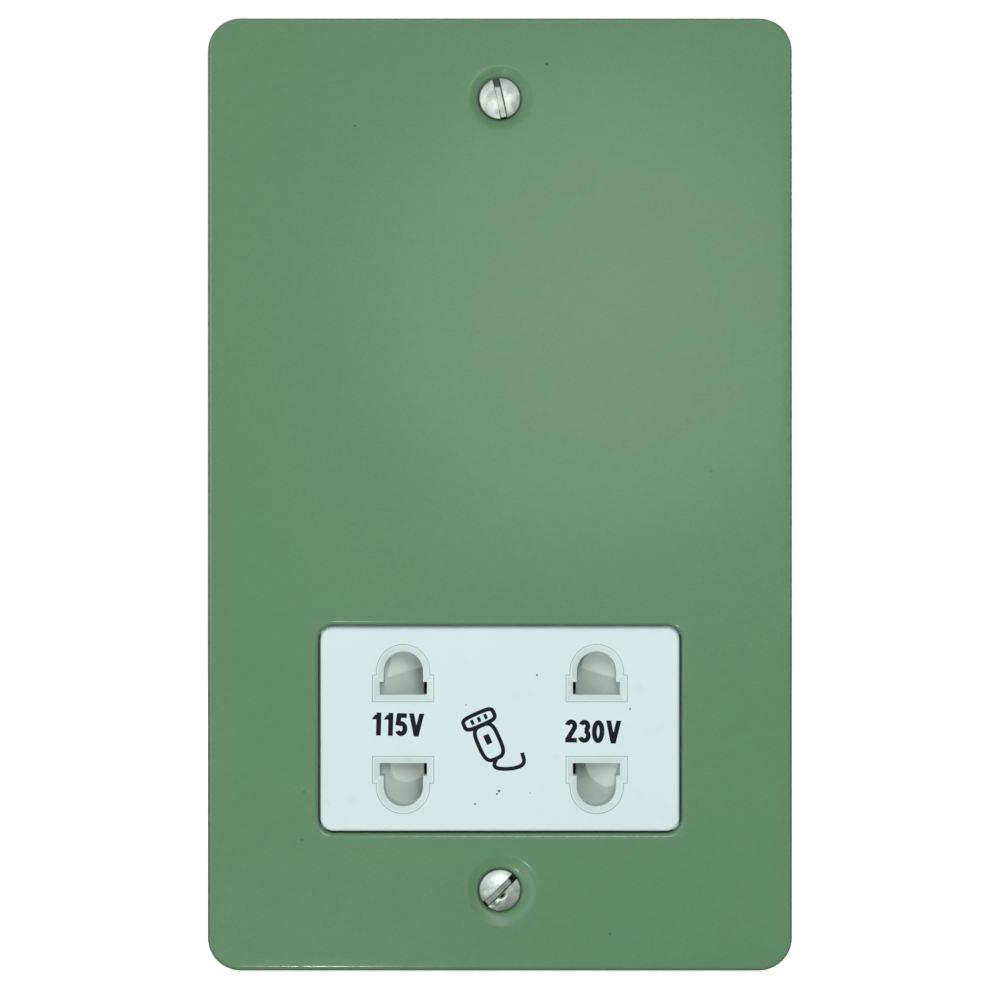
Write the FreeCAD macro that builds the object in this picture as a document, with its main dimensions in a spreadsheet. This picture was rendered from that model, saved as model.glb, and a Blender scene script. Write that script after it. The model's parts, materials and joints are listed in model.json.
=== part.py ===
"""Dual-voltage shaver supply unit on a flat metal plate, for a vertical two-gang wall box.

Frame: X to the right, Z up, Y into the wall. The origin is on the wall plane, at the middle of
the plate and midway between its two fixing screws. The plate's face is at Y = -plate_depth.
Lengths are millimetres. Every size is an expression over the words in SIZES.
"""
import FreeCAD, Part
import math
import os
import re
import Sketcher

SIZES = {
    # Pressed metal plate
    "plate_width": 89.0,
    "plate_depth": 3.0,
    "plate_gauge": 1.2,
    "plate_end": 12.2,
    "plate_corner": 5.0,
    "plate_edge_round": 1.1,
    "opening_round": 0.7,
    "stud_across": 24.0,
    "stud_margin": 0.5,
    "stud_clearance": 0.2,
    "stud_radius": 1.25,
    "stud_length": 5.2,
    # Fixing screws and the dished seats pressed in the plate for them
    "fixing_margin": 5.6,
    "fixing_hole_radius": 2.0,
    "dish_radius": 5.25,
    "dish_floor_radius": 3.45,
    "dish_depth": 0.55,
    "dish_back": 2.6,
    "cut_overrun": 1.0,
    "screw_head_radius": 3.2,
    "screw_head_land": 0.15,
    "screw_head_rise": 0.8,
    "screw_neck_radius": 1.5,
    "screw_neck_length": 0.3,
    "screw_thread_radius": 1.75,
    "screw_length": 29.0,
    "screw_tip_length": 0.8,
    "screw_tip_radius": 1.2,
    "screw_slot_width": 1.0,
    "screw_slot_depth": 1.1,
    "top_slot_angle": -12.0,
    "bottom_slot_angle": 46.3,
    # White insert with the four collars showing through it
    "insert_width": 54.6,
    "insert_height": 31.0,
    "insert_corner": 2.0,
    "insert_edge_round": 0.5,
    "insert_gap": 0.3,
    "insert_proud": 0.05,
    "insert_lip": 1.0,
    "insert_flange": 0.9,
    "frame_margin": 0.35,
    "seat_gap": 0.05,
    # Apertures: a flat blade slot that opens into a round pin hole
    "column_spacing": 29.4,
    "blade_slot_width": 7.2,
    "blade_edge": 5.2,
    "blade_step": 7.15,
    "pin_hole_radius": 3.0,
    "pin_offset": 8.8,
    "collar_wall": 1.0,
    "collar_gap": 0.12,
    "funnel_width": 0.8,
    "funnel_depth": 0.45,
    "block_gauge": 1.6,
    # Sliding shutter that opens one column and locks the other
    "shutter_travel": 6.0,
    "shutter_clearance": 0.15,
    "shutter_face_gap": 0.8,
    "shutter_web": 1.6,
    "ramp_drop": 3.4,
    "ramp_margin": 0.1,
    "row_margin": 0.3,
    "rail_width": 1.1,
    "blade_width": 6.35,
    "blade_clearance": 0.025,
    # Springs that centre the shutter
    "spring_room_half": 13.0,
    "spring_room_height": 3.0,
    "spring_stop_wall": 1.4,
    "spring_post_half": 1.5,
    "spring_radius": 1.8,
    "spring_wire_radius": 0.2,
    "spring_turns": 7.0,
    "stop_overhang": 0.45,
    "stop_front_gap": 1.0,
    "post_play": 0.45,
    "post_front_gap": 0.6,
    # Moulded body in two halves
    "body_wall": 1.5,
    "body_corner": 3.0,
    "front_wall": 1.6,
    "body_joint": 14.0,
    "body_back": 38.6,
    "ledge_width": 4.15,
    "ear_half": 4.0,
    "ear_round": 2.0,
    "seat_relief": 0.8,
    "wiring_room": 13.2,
    "core_headroom": 1.0,
    "core_side_gap": 1.6,
    "cover_screw_gap": 0.6,
    "cover_rear_round": 1.2,
    "tongue_gauge": 1.0,
    "tongue_depth": 2.0,
    "tongue_half": 12.0,
    # Contacts and the base that holds them
    "base_gauge": 2.0,
    "base_corner": 1.5,
    "base_screw_margin": 0.15,
    "base_end_gap": 0.3,
    "tower_end": 3.1,
    "tower_corner": 1.0,
    "tower_back": 20.0,
    "tower_wall": 1.3,
    "pocket_half_width": 4.2,
    "pocket_margin": 0.3,
    "contact_gauge": 0.6,
    "leaf_gauge": 0.5,
    "leaf_half_width": 3.2,
    "leaf_bulge": 0.9,
    "leaf_bulge_depth": 4.6,
    "leaf_tip_lean": 0.1,
    "leaf_tip_gap": 1.0,
    "leaf_root_inset": 0.1,
    "leaf_root_outset": 0.4,
    "strip_side_margin": 0.2,
    "tail_half_width": 1.0,
    "tail_gauge": 0.6,
    "tail_length": 5.4,
    "tail_joint_height": 4.0,
    "tail_slot_gap": 0.3,
    "retainer_gauge": 1.5,
    "retainer_rim": 1.2,
    "retainer_screw_offset": 5.9,
    "retainer_pilot_depth": 8.0,
    "tapping_screw_radius": 1.1,
    "tapping_head_radius": 1.9,
    "tapping_head_depth": 1.5,
    "tapping_clearance": 0.05,
    "tapping_drive_half": 0.3,
    "tapping_drive_depth": 0.75,
    "screw_head_room": 0.3,
    "well_wall": 0.7,
    "base_screw_length": 6.5,
    "base_pilot_depth": 5.0,
    "cover_screw_length": 10.0,
    # Isolating transformer
    "lamination_module": 9.0,
    "core_stack": 18.0,
    "coil_front": 1.0,
    "coil_play": 0.75,
    "bobbin_wall": 1.0,
    "bobbin_play": 0.2,
    "flange_side_gap": 0.3,
    "flange_corner": 1.5,
    "winding_recess": 0.5,
    "winding_corner": 3.0,
    "tag_radius": 0.5,
    "tag_length": 3.6,
    "tag_pitch": 8.0,
    "tag_setback": 2.5,
    "clamp_gauge": 0.6,
    "clamp_width": 12.0,
    "clamp_lip": 5.5,
    "clamp_tab_half": 2.0,
    "clamp_tab_height": 4.0,
    "pillar_size": 3.0,
    "cutout_thickness": 4.6,
    "cutout_width": 4.2,
    "cutout_length": 9.0,
    "cutout_round": 0.8,
    "cutout_rise": 2.0,
    # Terminals
    "neutral_offset": 4.5,
    "shelf_screw_offset": 12.0,
    "terminal_width": 7.0,
    "terminal_depth": 8.0,
    "terminal_length": 8.5,
    "terminal_bore": 1.6,
    "terminal_bore_depth": 3.6,
    "terminal_edge_round": 0.4,
    "terminal_drop": 3.2,
    "terminal_heel": 0.5,
    "terminal_play": 0.1,
    "cheek_height": 6.4,
    "cheek_rise": 0.2,
    "terminal_pocket_wall": 1.2,
    "terminal_screw_radius": 1.42,
    "terminal_screw_hole": 1.5,
    "terminal_head_radius": 2.6,
    "terminal_head_depth": 1.7,
    "clamp_head_gap": 0.1,
    "clamp_slot_half": 0.4,
    "clamp_slot_depth": 0.9,
    "terminal_tail_half": 1.2,
    "terminal_tail_gauge": 0.8,
    "terminal_tail_reach": 4.6,
    "strap_gauge": 0.5,
    "strap_half_width": 2.5,
    "strap_foot": 2.8,
    "strap_wall_gap": 0.1,
    "strap_slot_gap": 0.2,
    # Stud nuts and internal leads
    "nut_across_flats": 5.0,
    "nut_height": 2.0,
    "washer_radius": 3.0,
    "washer_gauge": 0.5,
    "washer_play": 0.1,
    "lead_radius": 0.8,
    "lead_bend": 2.4,
    "lead_pitch": 2.0,
    "live_lead_fall": 8.0,
    "neutral_lead_fall": 6.0,
    "cutout_lead_level": 2.0,
    "earth_lead_setback": 3.2,
    "earth_lead_level": 2.4,
    "outlet_lead_dip": 6.0,
    "common_lead_dip": 9.0,
}

doc = FreeCAD.newDocument("shaver_socket")
sheet = doc.addObject("Spreadsheet::Sheet", "Sizes")
for line, (word, number) in enumerate(SIZES.items(), start=1):
    sheet.set(f"A{line}", word)
    sheet.set(f"B{line}", str(number))
    sheet.setAlias(f"B{line}", word)
place_sheet = doc.addObject("Spreadsheet::Sheet", "Places")
placed = []
WORD = re.compile(r"[a-z][a-z_]+")


def bound(text, own="Places."):
    """The expression text with every word read from its sheet."""
    homes = dict.fromkeys(SIZES, "Sizes.") | dict.fromkeys(placed, own)
    return WORD.sub(lambda word: homes.get(word.group(), "") + word.group(), str(text))


def place(word, text):
    """Keep a place that is worked out from the sizes as a cell, and return its word."""
    line = len(placed) + 1
    place_sheet.set(f"A{line}", word)
    place_sheet.set(f"B{line}", f"={bound(text, own='')}")
    place_sheet.setAlias(f"B{line}", word)
    placed.append(word)
    return word


def value(text):
    """The number that an expression over the sheets' words gives."""
    return float(sheet.evalExpression(bound(text)))


# Planes across the depth, front to back
FACE = place("face", "-plate_depth")
PLATE_BACK = place("plate_back", "plate_gauge - plate_depth")
INSERT_FACE = place("insert_face", "-plate_depth - insert_proud")
FLANGE_FRONT = place("flange_front", f"{PLATE_BACK} + seat_gap")
FLANGE_BACK = place("flange_back", f"{FLANGE_FRONT} + insert_flange")
BLOCK_FRONT = place("block_front", f"{FLANGE_BACK} + seat_gap")
BLOCK_BACK = place("block_back", f"{BLOCK_FRONT} + block_gauge")
HOUSING_FRONT = place("housing_front", f"{PLATE_BACK} + seat_gap")
HOUSING_FLOOR = place("housing_floor", f"{HOUSING_FRONT} + front_wall")
RAIL_FRONT = place("rail_front", f"{BLOCK_BACK} + shutter_clearance")
RAMP_TOP = place("ramp_top", f"{BLOCK_BACK} + shutter_face_gap")
WEB_FRONT = place("web_front", f"{RAMP_TOP} + ramp_drop")
WEB_BACK = place("web_back", f"{WEB_FRONT} + shutter_web")
LEDGE_FRONT = place("ledge_front", f"{BLOCK_BACK} + seat_gap")
BASE_FRONT = place("base_front", f"{WEB_BACK} + shutter_clearance")
LEDGE_BACK = place("ledge_back", f"{BASE_FRONT} - seat_gap")
BASE_BACK = place("base_back", f"{BASE_FRONT} + base_gauge")
STRIP_FRONT = place("strip_front", "tower_back + seat_gap")
STRIP_BACK = place("strip_back", f"{STRIP_FRONT} + contact_gauge")
RETAINER_FLOOR = place("retainer_floor", f"{STRIP_BACK} + seat_gap")
RETAINER_BACK = place("retainer_back", f"{RETAINER_FLOOR} + retainer_gauge")
COVER_FRONT = place("cover_front", "body_joint + seat_gap")
SHELF_BACK = place("shelf_back", f"{COVER_FRONT} + body_wall")
COVER_FLOOR = place("cover_floor", "body_back - body_wall")

# The fixing screw's crown is a sphere's cap as high as its rise above the rim
CROWN_RADIUS = place(
    "crown_radius",
    "(screw_head_radius * screw_head_radius / screw_head_rise + screw_head_rise) / 2",
)

# Half widths, where a cavity takes the widest of what it holds
COLUMN = place("column", "column_spacing / 2")
FLANGE_X = place("flange_x", "insert_width / 2 + insert_gap + insert_lip")
FLANGE_HALF = place("flange_half", "insert_height / 2 + insert_gap + insert_lip")
WINDOW_X = place("window_x", f"{FLANGE_X} + insert_gap")
WINDOW_HALF = place("window_half", f"{FLANGE_HALF} + insert_gap / 2")
CORE_X = place("core_x", "lamination_module * 3")
SHUTTER_ROOM = place(
    "shutter_room", f"{COLUMN} + blade_slot_width / 2 + shutter_travel * 2 + shutter_clearance"
)
CORE_ROOM = place("core_room", f"{CORE_X} + seat_gap + clamp_gauge + core_side_gap")
TOWER_X = place("tower_x", f"{COLUMN} + pocket_half_width + tower_end")
BASE_SCREW_X = place("base_screw_x", f"{TOWER_X} + tapping_head_radius + screw_head_room")
BASE_X = place("base_x", f"{BASE_SCREW_X} + tapping_head_radius + base_screw_margin")
CAVITY_X = place(
    "cavity_x",
    f"max({SHUTTER_ROOM}; {WINDOW_X} + frame_margin; {CORE_ROOM}; {BASE_X} + base_end_gap)",
)
BODY_X = place("body_x", f"{CAVITY_X} + body_wall")
ROW_INNER = place("row_inner", "blade_edge - row_margin")
ROW_OUTER = place("row_outer", "pin_offset + pin_hole_radius + row_margin")
RAIL_OUTER = place("rail_outer", f"{ROW_OUTER} + rail_width")
LEDGE_INNER = place("ledge_inner", f"{RAIL_OUTER} + shutter_clearance")
LEDGE_OUTER = place("ledge_outer", f"max({LEDGE_INNER} + ledge_width; {WINDOW_HALF} + frame_margin)")
RAMP_OUTER = place("ramp_outer", f"{COLUMN} + blade_slot_width / 2 + ramp_margin")
RAMP_INNER = place("ramp_inner", f"{COLUMN} + blade_width / 2 + blade_clearance - shutter_travel")
GATE_INNER = place("gate_inner", f"{COLUMN} - blade_width / 2 - blade_clearance - shutter_travel")
SHUTTER_END = place("shutter_end", f"{CAVITY_X} - shutter_clearance - shutter_travel")

# Heights: the body is as tall as its mechanism, wiring, core and terminal shelf, one above another
CORE_HEIGHT = place("core_height", "lamination_module * 5")
SHELF_HEIGHT = place("shelf_height", "terminal_drop + terminal_length + terminal_heel")
MECHANISM_HEIGHT = place("mechanism_height", f"2 * {LEDGE_OUTER} + wiring_room")
BODY_Z = place(
    "body_z",
    f"({MECHANISM_HEIGHT} + {CORE_HEIGHT} + core_headroom + {SHELF_HEIGHT}) / 2 + body_wall",
)
CAVITY_Z = place("cavity_z", f"{BODY_Z} - body_wall")
INSERT_Z = place("insert_z", f"{LEDGE_OUTER} - {CAVITY_Z}")
MECHANISM_TOP = place("mechanism_top", f"{INSERT_Z} + {LEDGE_OUTER}")
CORE_BOTTOM = place("core_bottom", f"{MECHANISM_TOP} + wiring_room")
CORE_TOP = place("core_top", f"{CORE_BOTTOM} + {CORE_HEIGHT}")
SHELF_Z = place("shelf_z", f"{BODY_Z} - {SHELF_HEIGHT}")
STUD_Z = place("stud_z", f"{BODY_Z} + washer_radius + stud_margin")
FIXING_Z = place("fixing_z", f"{BODY_Z} + fixing_margin")
PLATE_Z = place("plate_z", f"{FIXING_Z} + plate_end")

# Contacts and the screws of the body
POCKET_INNER = place("pocket_inner", f"{ROW_INNER} - pocket_margin")
POCKET_OUTER = place("pocket_outer", f"{ROW_OUTER} + pocket_margin * 2")
TOWER_HALF = place("tower_half", f"{POCKET_OUTER} + tower_wall")
RETAINER_X = place("retainer_x", f"{TOWER_X} - tower_wall")
RETAINER_HALF = place("retainer_half", f"{TOWER_HALF} - seat_gap")
BOSS_RADIUS = place("boss_radius", "tapping_screw_radius + body_wall")
COVER_SCREW_X = place("cover_screw_x", f"{CAVITY_X} - tapping_head_radius - body_wall / 2")
COVER_SCREW_Z = place("cover_screw_z", f"{MECHANISM_TOP} + {BOSS_RADIUS} + cover_screw_gap")
SHELF_SCREW_Z = place("shelf_screw_z", f"{BODY_Z} - {SHELF_HEIGHT} / 2")

# Transformer
COIL_REACH = place("coil_reach", "lamination_module - coil_play")
CORE_FRONT = place("core_front", f"coil_front + {COIL_REACH}")
CORE_BACK = place("core_back", f"{CORE_FRONT} + core_stack")
COIL_Y = place("coil_y", f"{CORE_FRONT} + core_stack / 2")
WINDOW_BOTTOM = place("window_bottom", f"{CORE_BOTTOM} + lamination_module")
WINDOW_TOP = place("window_top", f"{CORE_BOTTOM} + lamination_module * 4")

# Terminals, which stand on the shelf at the top of the rear cover
TERMINAL_TOP = place("terminal_top", f"{BODY_Z} - terminal_drop")
TERMINAL_BOTTOM = place("terminal_bottom", f"{TERMINAL_TOP} - terminal_length")
TERMINAL_TAIL_Z = place("terminal_tail_z", f"{TERMINAL_TOP} - terminal_length / 2")
TERMINAL_FRONT = place("terminal_front", f"{SHELF_BACK} + seat_gap")
TERMINAL_TAIL_END = place("terminal_tail_end", f"{COVER_FRONT} - terminal_tail_reach + body_wall")
doc.recompute()

TERMINALS = {"live": "stud_across", "neutral": "(-neutral_offset)", "earth": "(-stud_across)"}
PLANES = {"x": "YZ_Plane", "y": "XZ_Plane", "z": "XY_Plane"}
nodes = []


def node(made):
    """Mark an object as a sub-part, whose shape is written under its label."""
    nodes.append(made)
    return made


def body(label):
    made = doc.addObject("PartDesign::Body", label)
    made.Label = label
    return node(made)


def rectangle(low_u, high_u, low_v, high_v):
    return [(low_u, low_v), (high_u, low_v), (high_u, high_v), (low_u, high_v)]


def centred(u, v, half_u, half_v):
    return rectangle(f"{u} - {half_u}", f"{u} + {half_u}", f"{v} - {half_v}", f"{v} + {half_v}")


def rounded(u, v, half_u, half_v, radius):
    """A rectangle about (u, v) whose corners are arcs; a third item is the arc's centre."""
    left, right = f"({u} - {half_u})", f"({u} + {half_u})"
    low, high = f"({v} - {half_v})", f"({v} + {half_v})"
    in_left, in_right = f"({left} + {radius})", f"({right} - {radius})"
    in_low, in_high = f"({low} + {radius})", f"({high} - {radius})"
    return [
        (in_left, low), (in_right, low, (in_right, in_low)),
        (right, in_low), (right, in_high, (in_right, in_high)),
        (in_right, high), (in_left, high, (in_left, in_high)),
        (left, in_high), (left, in_low, (in_left, in_low)),
    ]


def keyhole(column, row, grow="0"):
    """A blade slot opening into a round pin hole, grown outwards all round by one amount.

    The row is 1 for the upper apertures and -1 for the lower ones, which are mirrored.
    """
    slot, hole = f"(blade_slot_width / 2 + {grow})", f"(pin_hole_radius + {grow})"
    levels = [f"(blade_edge - {grow})", f"(blade_step + {grow})", "pin_offset"]
    near, step, far = (f"({INSERT_Z} + {row} * {level})" for level in levels)
    centre = f"({column} * {COLUMN})"
    right = [(f"{centre} + {slot}", near), (f"{centre} + {slot}", step), (f"{centre} + {hole}", step)]
    left = [(f"{centre} - {hole}", step), (f"{centre} - {slot}", step), (f"{centre} - {slot}", near)]
    return right + [(f"{centre} + {hole}", far, (centre, far)), (f"{centre} - {hole}", far)] + left


def turn_of(points):
    """1 where the points run anticlockwise and -1 where they run clockwise."""
    doubled = sum(a[0] * b[1] - b[0] * a[1] for a, b in zip(points, points[1:] + points[:1]))
    return 1 if doubled > 0 else -1


def hold(sketch, kind, place, amount, name):
    """A signed distance from the sketch's origin, bound to an expression."""
    datum = Sketcher.Constraint(kind, -1, 1, place[0], place[1], value(amount))
    sketch.renameConstraint(sketch.addConstraint(datum), name)
    sketch.setExpression(f"Constraints.{name}", bound(amount))


def draw_outline(sketch, corners, prefix):
    """One closed outline of lines and arcs, with each corner held to the sheet."""
    points = [(value(corner[0]), value(corner[1])) for corner in corners]
    first = sketch.GeometryCount
    ends = []
    for index, corner in enumerate(corners):
        start, end = points[index], points[(index + 1) % len(points)]
        if len(corner) == 2:
            line = Part.LineSegment(FreeCAD.Vector(*start, 0), FreeCAD.Vector(*end, 0))
            sketch.addGeometry(line, False)
            ends.append((1, 2))
            continue
        centre = (value(corner[2][0]), value(corner[2][1]))
        circle = Part.Circle(
            FreeCAD.Vector(*centre, 0), FreeCAD.Vector(0, 0, 1), math.dist(centre, start)
        )
        angles = [math.atan2(p[1] - centre[1], p[0] - centre[0]) for p in (start, end)]
        forward = turn_of(points) > 0
        sketch.addGeometry(Part.ArcOfCircle(circle, *(angles if forward else angles[::-1])), False)
        ends.append((1, 2) if forward else (2, 1))
    for index, corner in enumerate(corners):
        following = (index + 1) % len(corners)
        here, there = first + index, first + following
        joint = Sketcher.Constraint("Coincident", here, ends[index][1], there, ends[following][0])
        sketch.addConstraint(joint)
        hold(sketch, "DistanceX", (here, ends[index][0]), corner[0], f"{prefix}u{index}")
        hold(sketch, "DistanceY", (here, ends[index][0]), corner[1], f"{prefix}v{index}")
        if len(corner) == 3:
            (u, v), (next_u, next_v) = points[index], points[following]
            flat = abs(next_u - u) >= abs(next_v - v)
            kind, amount = ("DistanceY", corner[2][1]) if flat else ("DistanceX", corner[2][0])
            hold(sketch, kind, (here, 3), amount, f"{prefix}c{index}")


def draw_circle(sketch, circle, prefix):
    """A full circle given as (u, v, radius)."""
    u, v, radius = circle
    centre = FreeCAD.Vector(value(u), value(v), 0)
    sketch.addGeometry(Part.Circle(centre, FreeCAD.Vector(0, 0, 1), value(radius)), False)
    here = sketch.GeometryCount - 1
    hold(sketch, "DistanceX", (here, 3), u, f"{prefix}u")
    hold(sketch, "DistanceY", (here, 3), v, f"{prefix}v")
    size = Sketcher.Constraint("Radius", here, value(radius))
    sketch.renameConstraint(sketch.addConstraint(size), f"{prefix}r")
    sketch.setExpression(f"Constraints.{prefix}r", bound(radius))


def sketch_on(owner, name, axis, place, shapes, shift=None):
    """A sketch across an axis at a place along it. A shape is an outline or a circle."""
    drawn = owner.newObject("Sketcher::SketchObject", name)
    plane = next(f for f in owner.Origin.OriginFeatures if f.Role == PLANES[axis])
    drawn.AttachmentSupport = [(plane, "")]
    drawn.MapMode = "FlatFace"
    sign = "-" if axis == "y" else ""
    drawn.setExpression("AttachmentOffset.Base.z", bound(f"{sign}({place})"))
    if shift:
        drawn.setExpression("AttachmentOffset.Base.y", bound(shift))
    for index, shape in enumerate(shapes):
        draw = draw_outline if isinstance(shape, list) else draw_circle
        draw(drawn, shape, f"s{index}")
    return drawn


def prism(owner, kind, name, axis, start, end, shapes):
    """Add or remove the shapes between two places along an axis."""
    feature = owner.newObject(f"PartDesign::{kind}", name)
    feature.Profile = sketch_on(owner, f"{name}_sketch", axis, start, shapes)
    along_normal = axis != "y"
    feature.Reversed = along_normal if kind == "Pocket" else not along_normal
    feature.setExpression("Length", bound(f"({end}) - ({start})"))
    return feature


def pad(owner, name, axis, start, end, *shapes):
    return prism(owner, "Pad", name, axis, start, end, shapes)


def pocket(owner, name, axis, start, end, *shapes):
    return prism(owner, "Pocket", name, axis, start, end, shapes)


def turned(owner, kind, name, outline, height="0"):
    """Revolve a profile of (y, radius) points about an axis along Y at a height."""
    feature = owner.newObject(f"PartDesign::{kind}", name)
    profile = sketch_on(owner, f"{name}_sketch", "x", "0", [outline], shift=height)
    feature.Profile = profile
    feature.ReferenceAxis = (profile, ["H_Axis"])
    feature.Angle = 360
    return feature


def soften(owner, name, radius, wanted):
    """Round the edges of the body so far that a test picks."""
    doc.recompute()
    tip = owner.Tip
    names = [f"Edge{i}" for i, edge in enumerate(tip.Shape.Edges, start=1) if wanted(edge)]
    feature = owner.newObject("PartDesign::Fillet", name)
    feature.Base = (tip, names)
    feature.setExpression("Radius", bound(radius))
    return feature


def at_depth(depth, low_x="-1000", high_x="1000", low_z="-1000", high_z="1000"):
    """A test for edges that lie across the depth at one place, inside a window."""
    limits = [value(text) for text in (low_x, high_x, low_z, high_z)]
    place = value(depth)

    def wanted(edge):
        box = edge.BoundBox
        flat = abs(box.YMin - place) < 1e-4 and abs(box.YMax - place) < 1e-4
        across = limits[0] < box.XMin and box.XMax < limits[1]
        return flat and across and limits[2] < box.ZMin and box.ZMax < limits[3]

    return wanted


def primitive(kind, name, x, y, z, axis="z", **sizes):
    """A Part primitive whose sizes and place are bound to the sheet."""
    made = doc.addObject(f"Part::{kind}", name)
    turns = {"x": ((0, 1, 0), 90), "y": ((1, 0, 0), -90), "z": ((0, 0, 1), 0)}
    direction, angle = turns[axis]
    made.Placement.Rotation = FreeCAD.Rotation(FreeCAD.Vector(*direction), angle)
    for key, amount in sizes.items():
        made.setExpression(key, bound(amount))
    for key, amount in zip("xyz", (x, y, z)):
        made.setExpression(f"Placement.Base.{key}", bound(amount))
    return made


def block(name, x, y, z):
    """A box between a low and a high place along each axis."""
    sizes = [f"({high}) - ({low})" for low, high in (x, y, z)]
    return primitive(
        "Box", name, x[0], y[0], z[0], Length=sizes[0], Width=sizes[1], Height=sizes[2]
    )


def rod(name, x, z, radius, front, back):
    """A cylinder along Y."""
    return primitive(
        "Cylinder", name, x, front, z, axis="y", Radius=radius, Height=f"({back}) - ({front})"
    )


def fused(name, parts):
    made = doc.addObject("Part::MultiFuse", name)
    made.Shapes = parts
    return made


def less(name, base, tool):
    made = doc.addObject("Part::Cut", name)
    made.Base = base
    made.Tool = tool
    return made


def group(label, parts):
    """Separate solids that share a node."""
    made = doc.addObject("Part::Compound", label)
    made.Label = label
    made.Links = parts
    return node(made)


def front_plate():
    """Pressed plate with a rolled edge, a window, two dished screw seats and four studs."""
    plate = body("front_plate")
    rim = rounded("0", "0", "plate_width / 2", PLATE_Z, "plate_corner")
    pad(plate, "plate_blank", "y", FACE, "0", rim)
    wall = "(plate_width / 2 - plate_gauge)", f"({PLATE_Z} - plate_gauge)"
    soften(plate, "plate_rolled_edge", "plate_edge_round", at_depth(FACE))
    pan = rounded("0", "0", *wall, "(plate_corner - plate_gauge)")
    pocket(plate, "plate_pan", "y", PLATE_BACK, "0", pan)
    for name, sign in (("top", 1), ("bottom", -1)):
        height = f"{sign} * {FIXING_Z}"
        throat = "(dish_depth + dish_floor_radius - fixing_hole_radius)"
        dish = [
            (FACE, "0"), (FACE, "dish_radius"),
            (f"{FACE} + dish_depth", "dish_floor_radius"),
            (f"{FACE} + {throat}", "fixing_hole_radius"),
            (f"{FACE} + dish_back + cut_overrun", "fixing_hole_radius"),
            (f"{FACE} + dish_back + cut_overrun", "0"),
        ]
        boss = [
            (f"{FACE} + dish_depth", "0"), (f"{FACE} + dish_depth", "dish_radius + plate_gauge"),
            (PLATE_BACK, "dish_radius + plate_gauge"),
            (f"{FACE} + dish_back", "dish_floor_radius + plate_gauge"),
            (f"{FACE} + dish_back", "0"),
        ]
        turned(plate, "Revolution", f"{name}_seat_back", boss, height)
        turned(plate, "Groove", f"{name}_seat", dish, height)
        doc.recompute()
    opening = rounded(
        "0", INSERT_Z, "(insert_width / 2 + insert_gap)", "(insert_height / 2 + insert_gap)",
        "(insert_corner + insert_gap)",
    )
    pocket(plate, "plate_window", "y", FACE, PLATE_BACK, opening)
    inside = at_depth(
        FACE, f"-{FLANGE_X}", FLANGE_X, f"{INSERT_Z} - {FLANGE_HALF}", f"{INSERT_Z} + {FLANGE_HALF}"
    )
    soften(plate, "plate_window_round", "opening_round", inside)
    studs = [
        (f"{x} * stud_across", f"{z} * {STUD_Z}", "stud_radius") for x in (-1, 1) for z in (-1, 1)
    ]
    pad(plate, "plate_studs", "y", PLATE_BACK, f"{PLATE_BACK} + stud_length", *studs)


def fixing_screw(label, sign, angle):
    """Raised countersunk slotted screw, turned about its own axis to where it was left."""
    screw = body(label)
    rim = f"({FACE} + dish_depth + dish_floor_radius - screw_head_radius)"
    top = f"({rim} - screw_head_land - screw_head_rise)"
    neck = f"({rim} + screw_head_radius - screw_neck_radius)"
    tip = f"({top} + screw_length)"
    profile = [
        (top, "0", (f"{top} + {CROWN_RADIUS}", "0")),
        (f"{rim} - screw_head_land", "screw_head_radius"), (rim, "screw_head_radius"),
        (neck, "screw_neck_radius"), (f"{neck} + screw_neck_length", "screw_neck_radius"),
        (f"{neck} + screw_neck_length", "screw_thread_radius"),
        (f"{tip} - screw_tip_length", "screw_thread_radius"), (tip, "screw_tip_radius"), (tip, "0"),
    ]
    turned(screw, "Revolution", f"{label}_turned", profile)
    slot = centred("0", "0", "screw_slot_width / 2", "(screw_head_radius + cut_overrun)")
    pocket(screw, f"{label}_slot", "y", f"{top} - cut_overrun", f"{top} + screw_slot_depth", slot)
    screw.setExpression("Placement.Base.z", bound(f"{sign} * {FIXING_Z}"))
    screw.Placement.Rotation = FreeCAD.Rotation(FreeCAD.Vector(0, 1, 0), value(angle))


APERTURES = [(column, row) for column in (-1, 1) for row in (-1, 1)]


def insert_cover():
    """White insert: a slab in the plate's window with a flange behind the plate."""
    cover = body("insert_cover")
    slab = rounded("0", INSERT_Z, "insert_width / 2", "insert_height / 2", "insert_corner")
    pad(cover, "insert_slab", "y", INSERT_FACE, FLANGE_BACK, slab)
    soften(cover, "insert_edge", "insert_edge_round", at_depth(INSERT_FACE))
    flange = rounded("0", INSERT_Z, FLANGE_X, FLANGE_HALF, "(insert_corner + insert_gap)")
    pad(cover, "insert_rim", "y", FLANGE_FRONT, FLANGE_BACK, flange)
    holes = [keyhole(*place, "(collar_wall + collar_gap)") for place in APERTURES]
    pocket(cover, "insert_holes", "y", INSERT_FACE, FLANGE_BACK, *holes)


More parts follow.
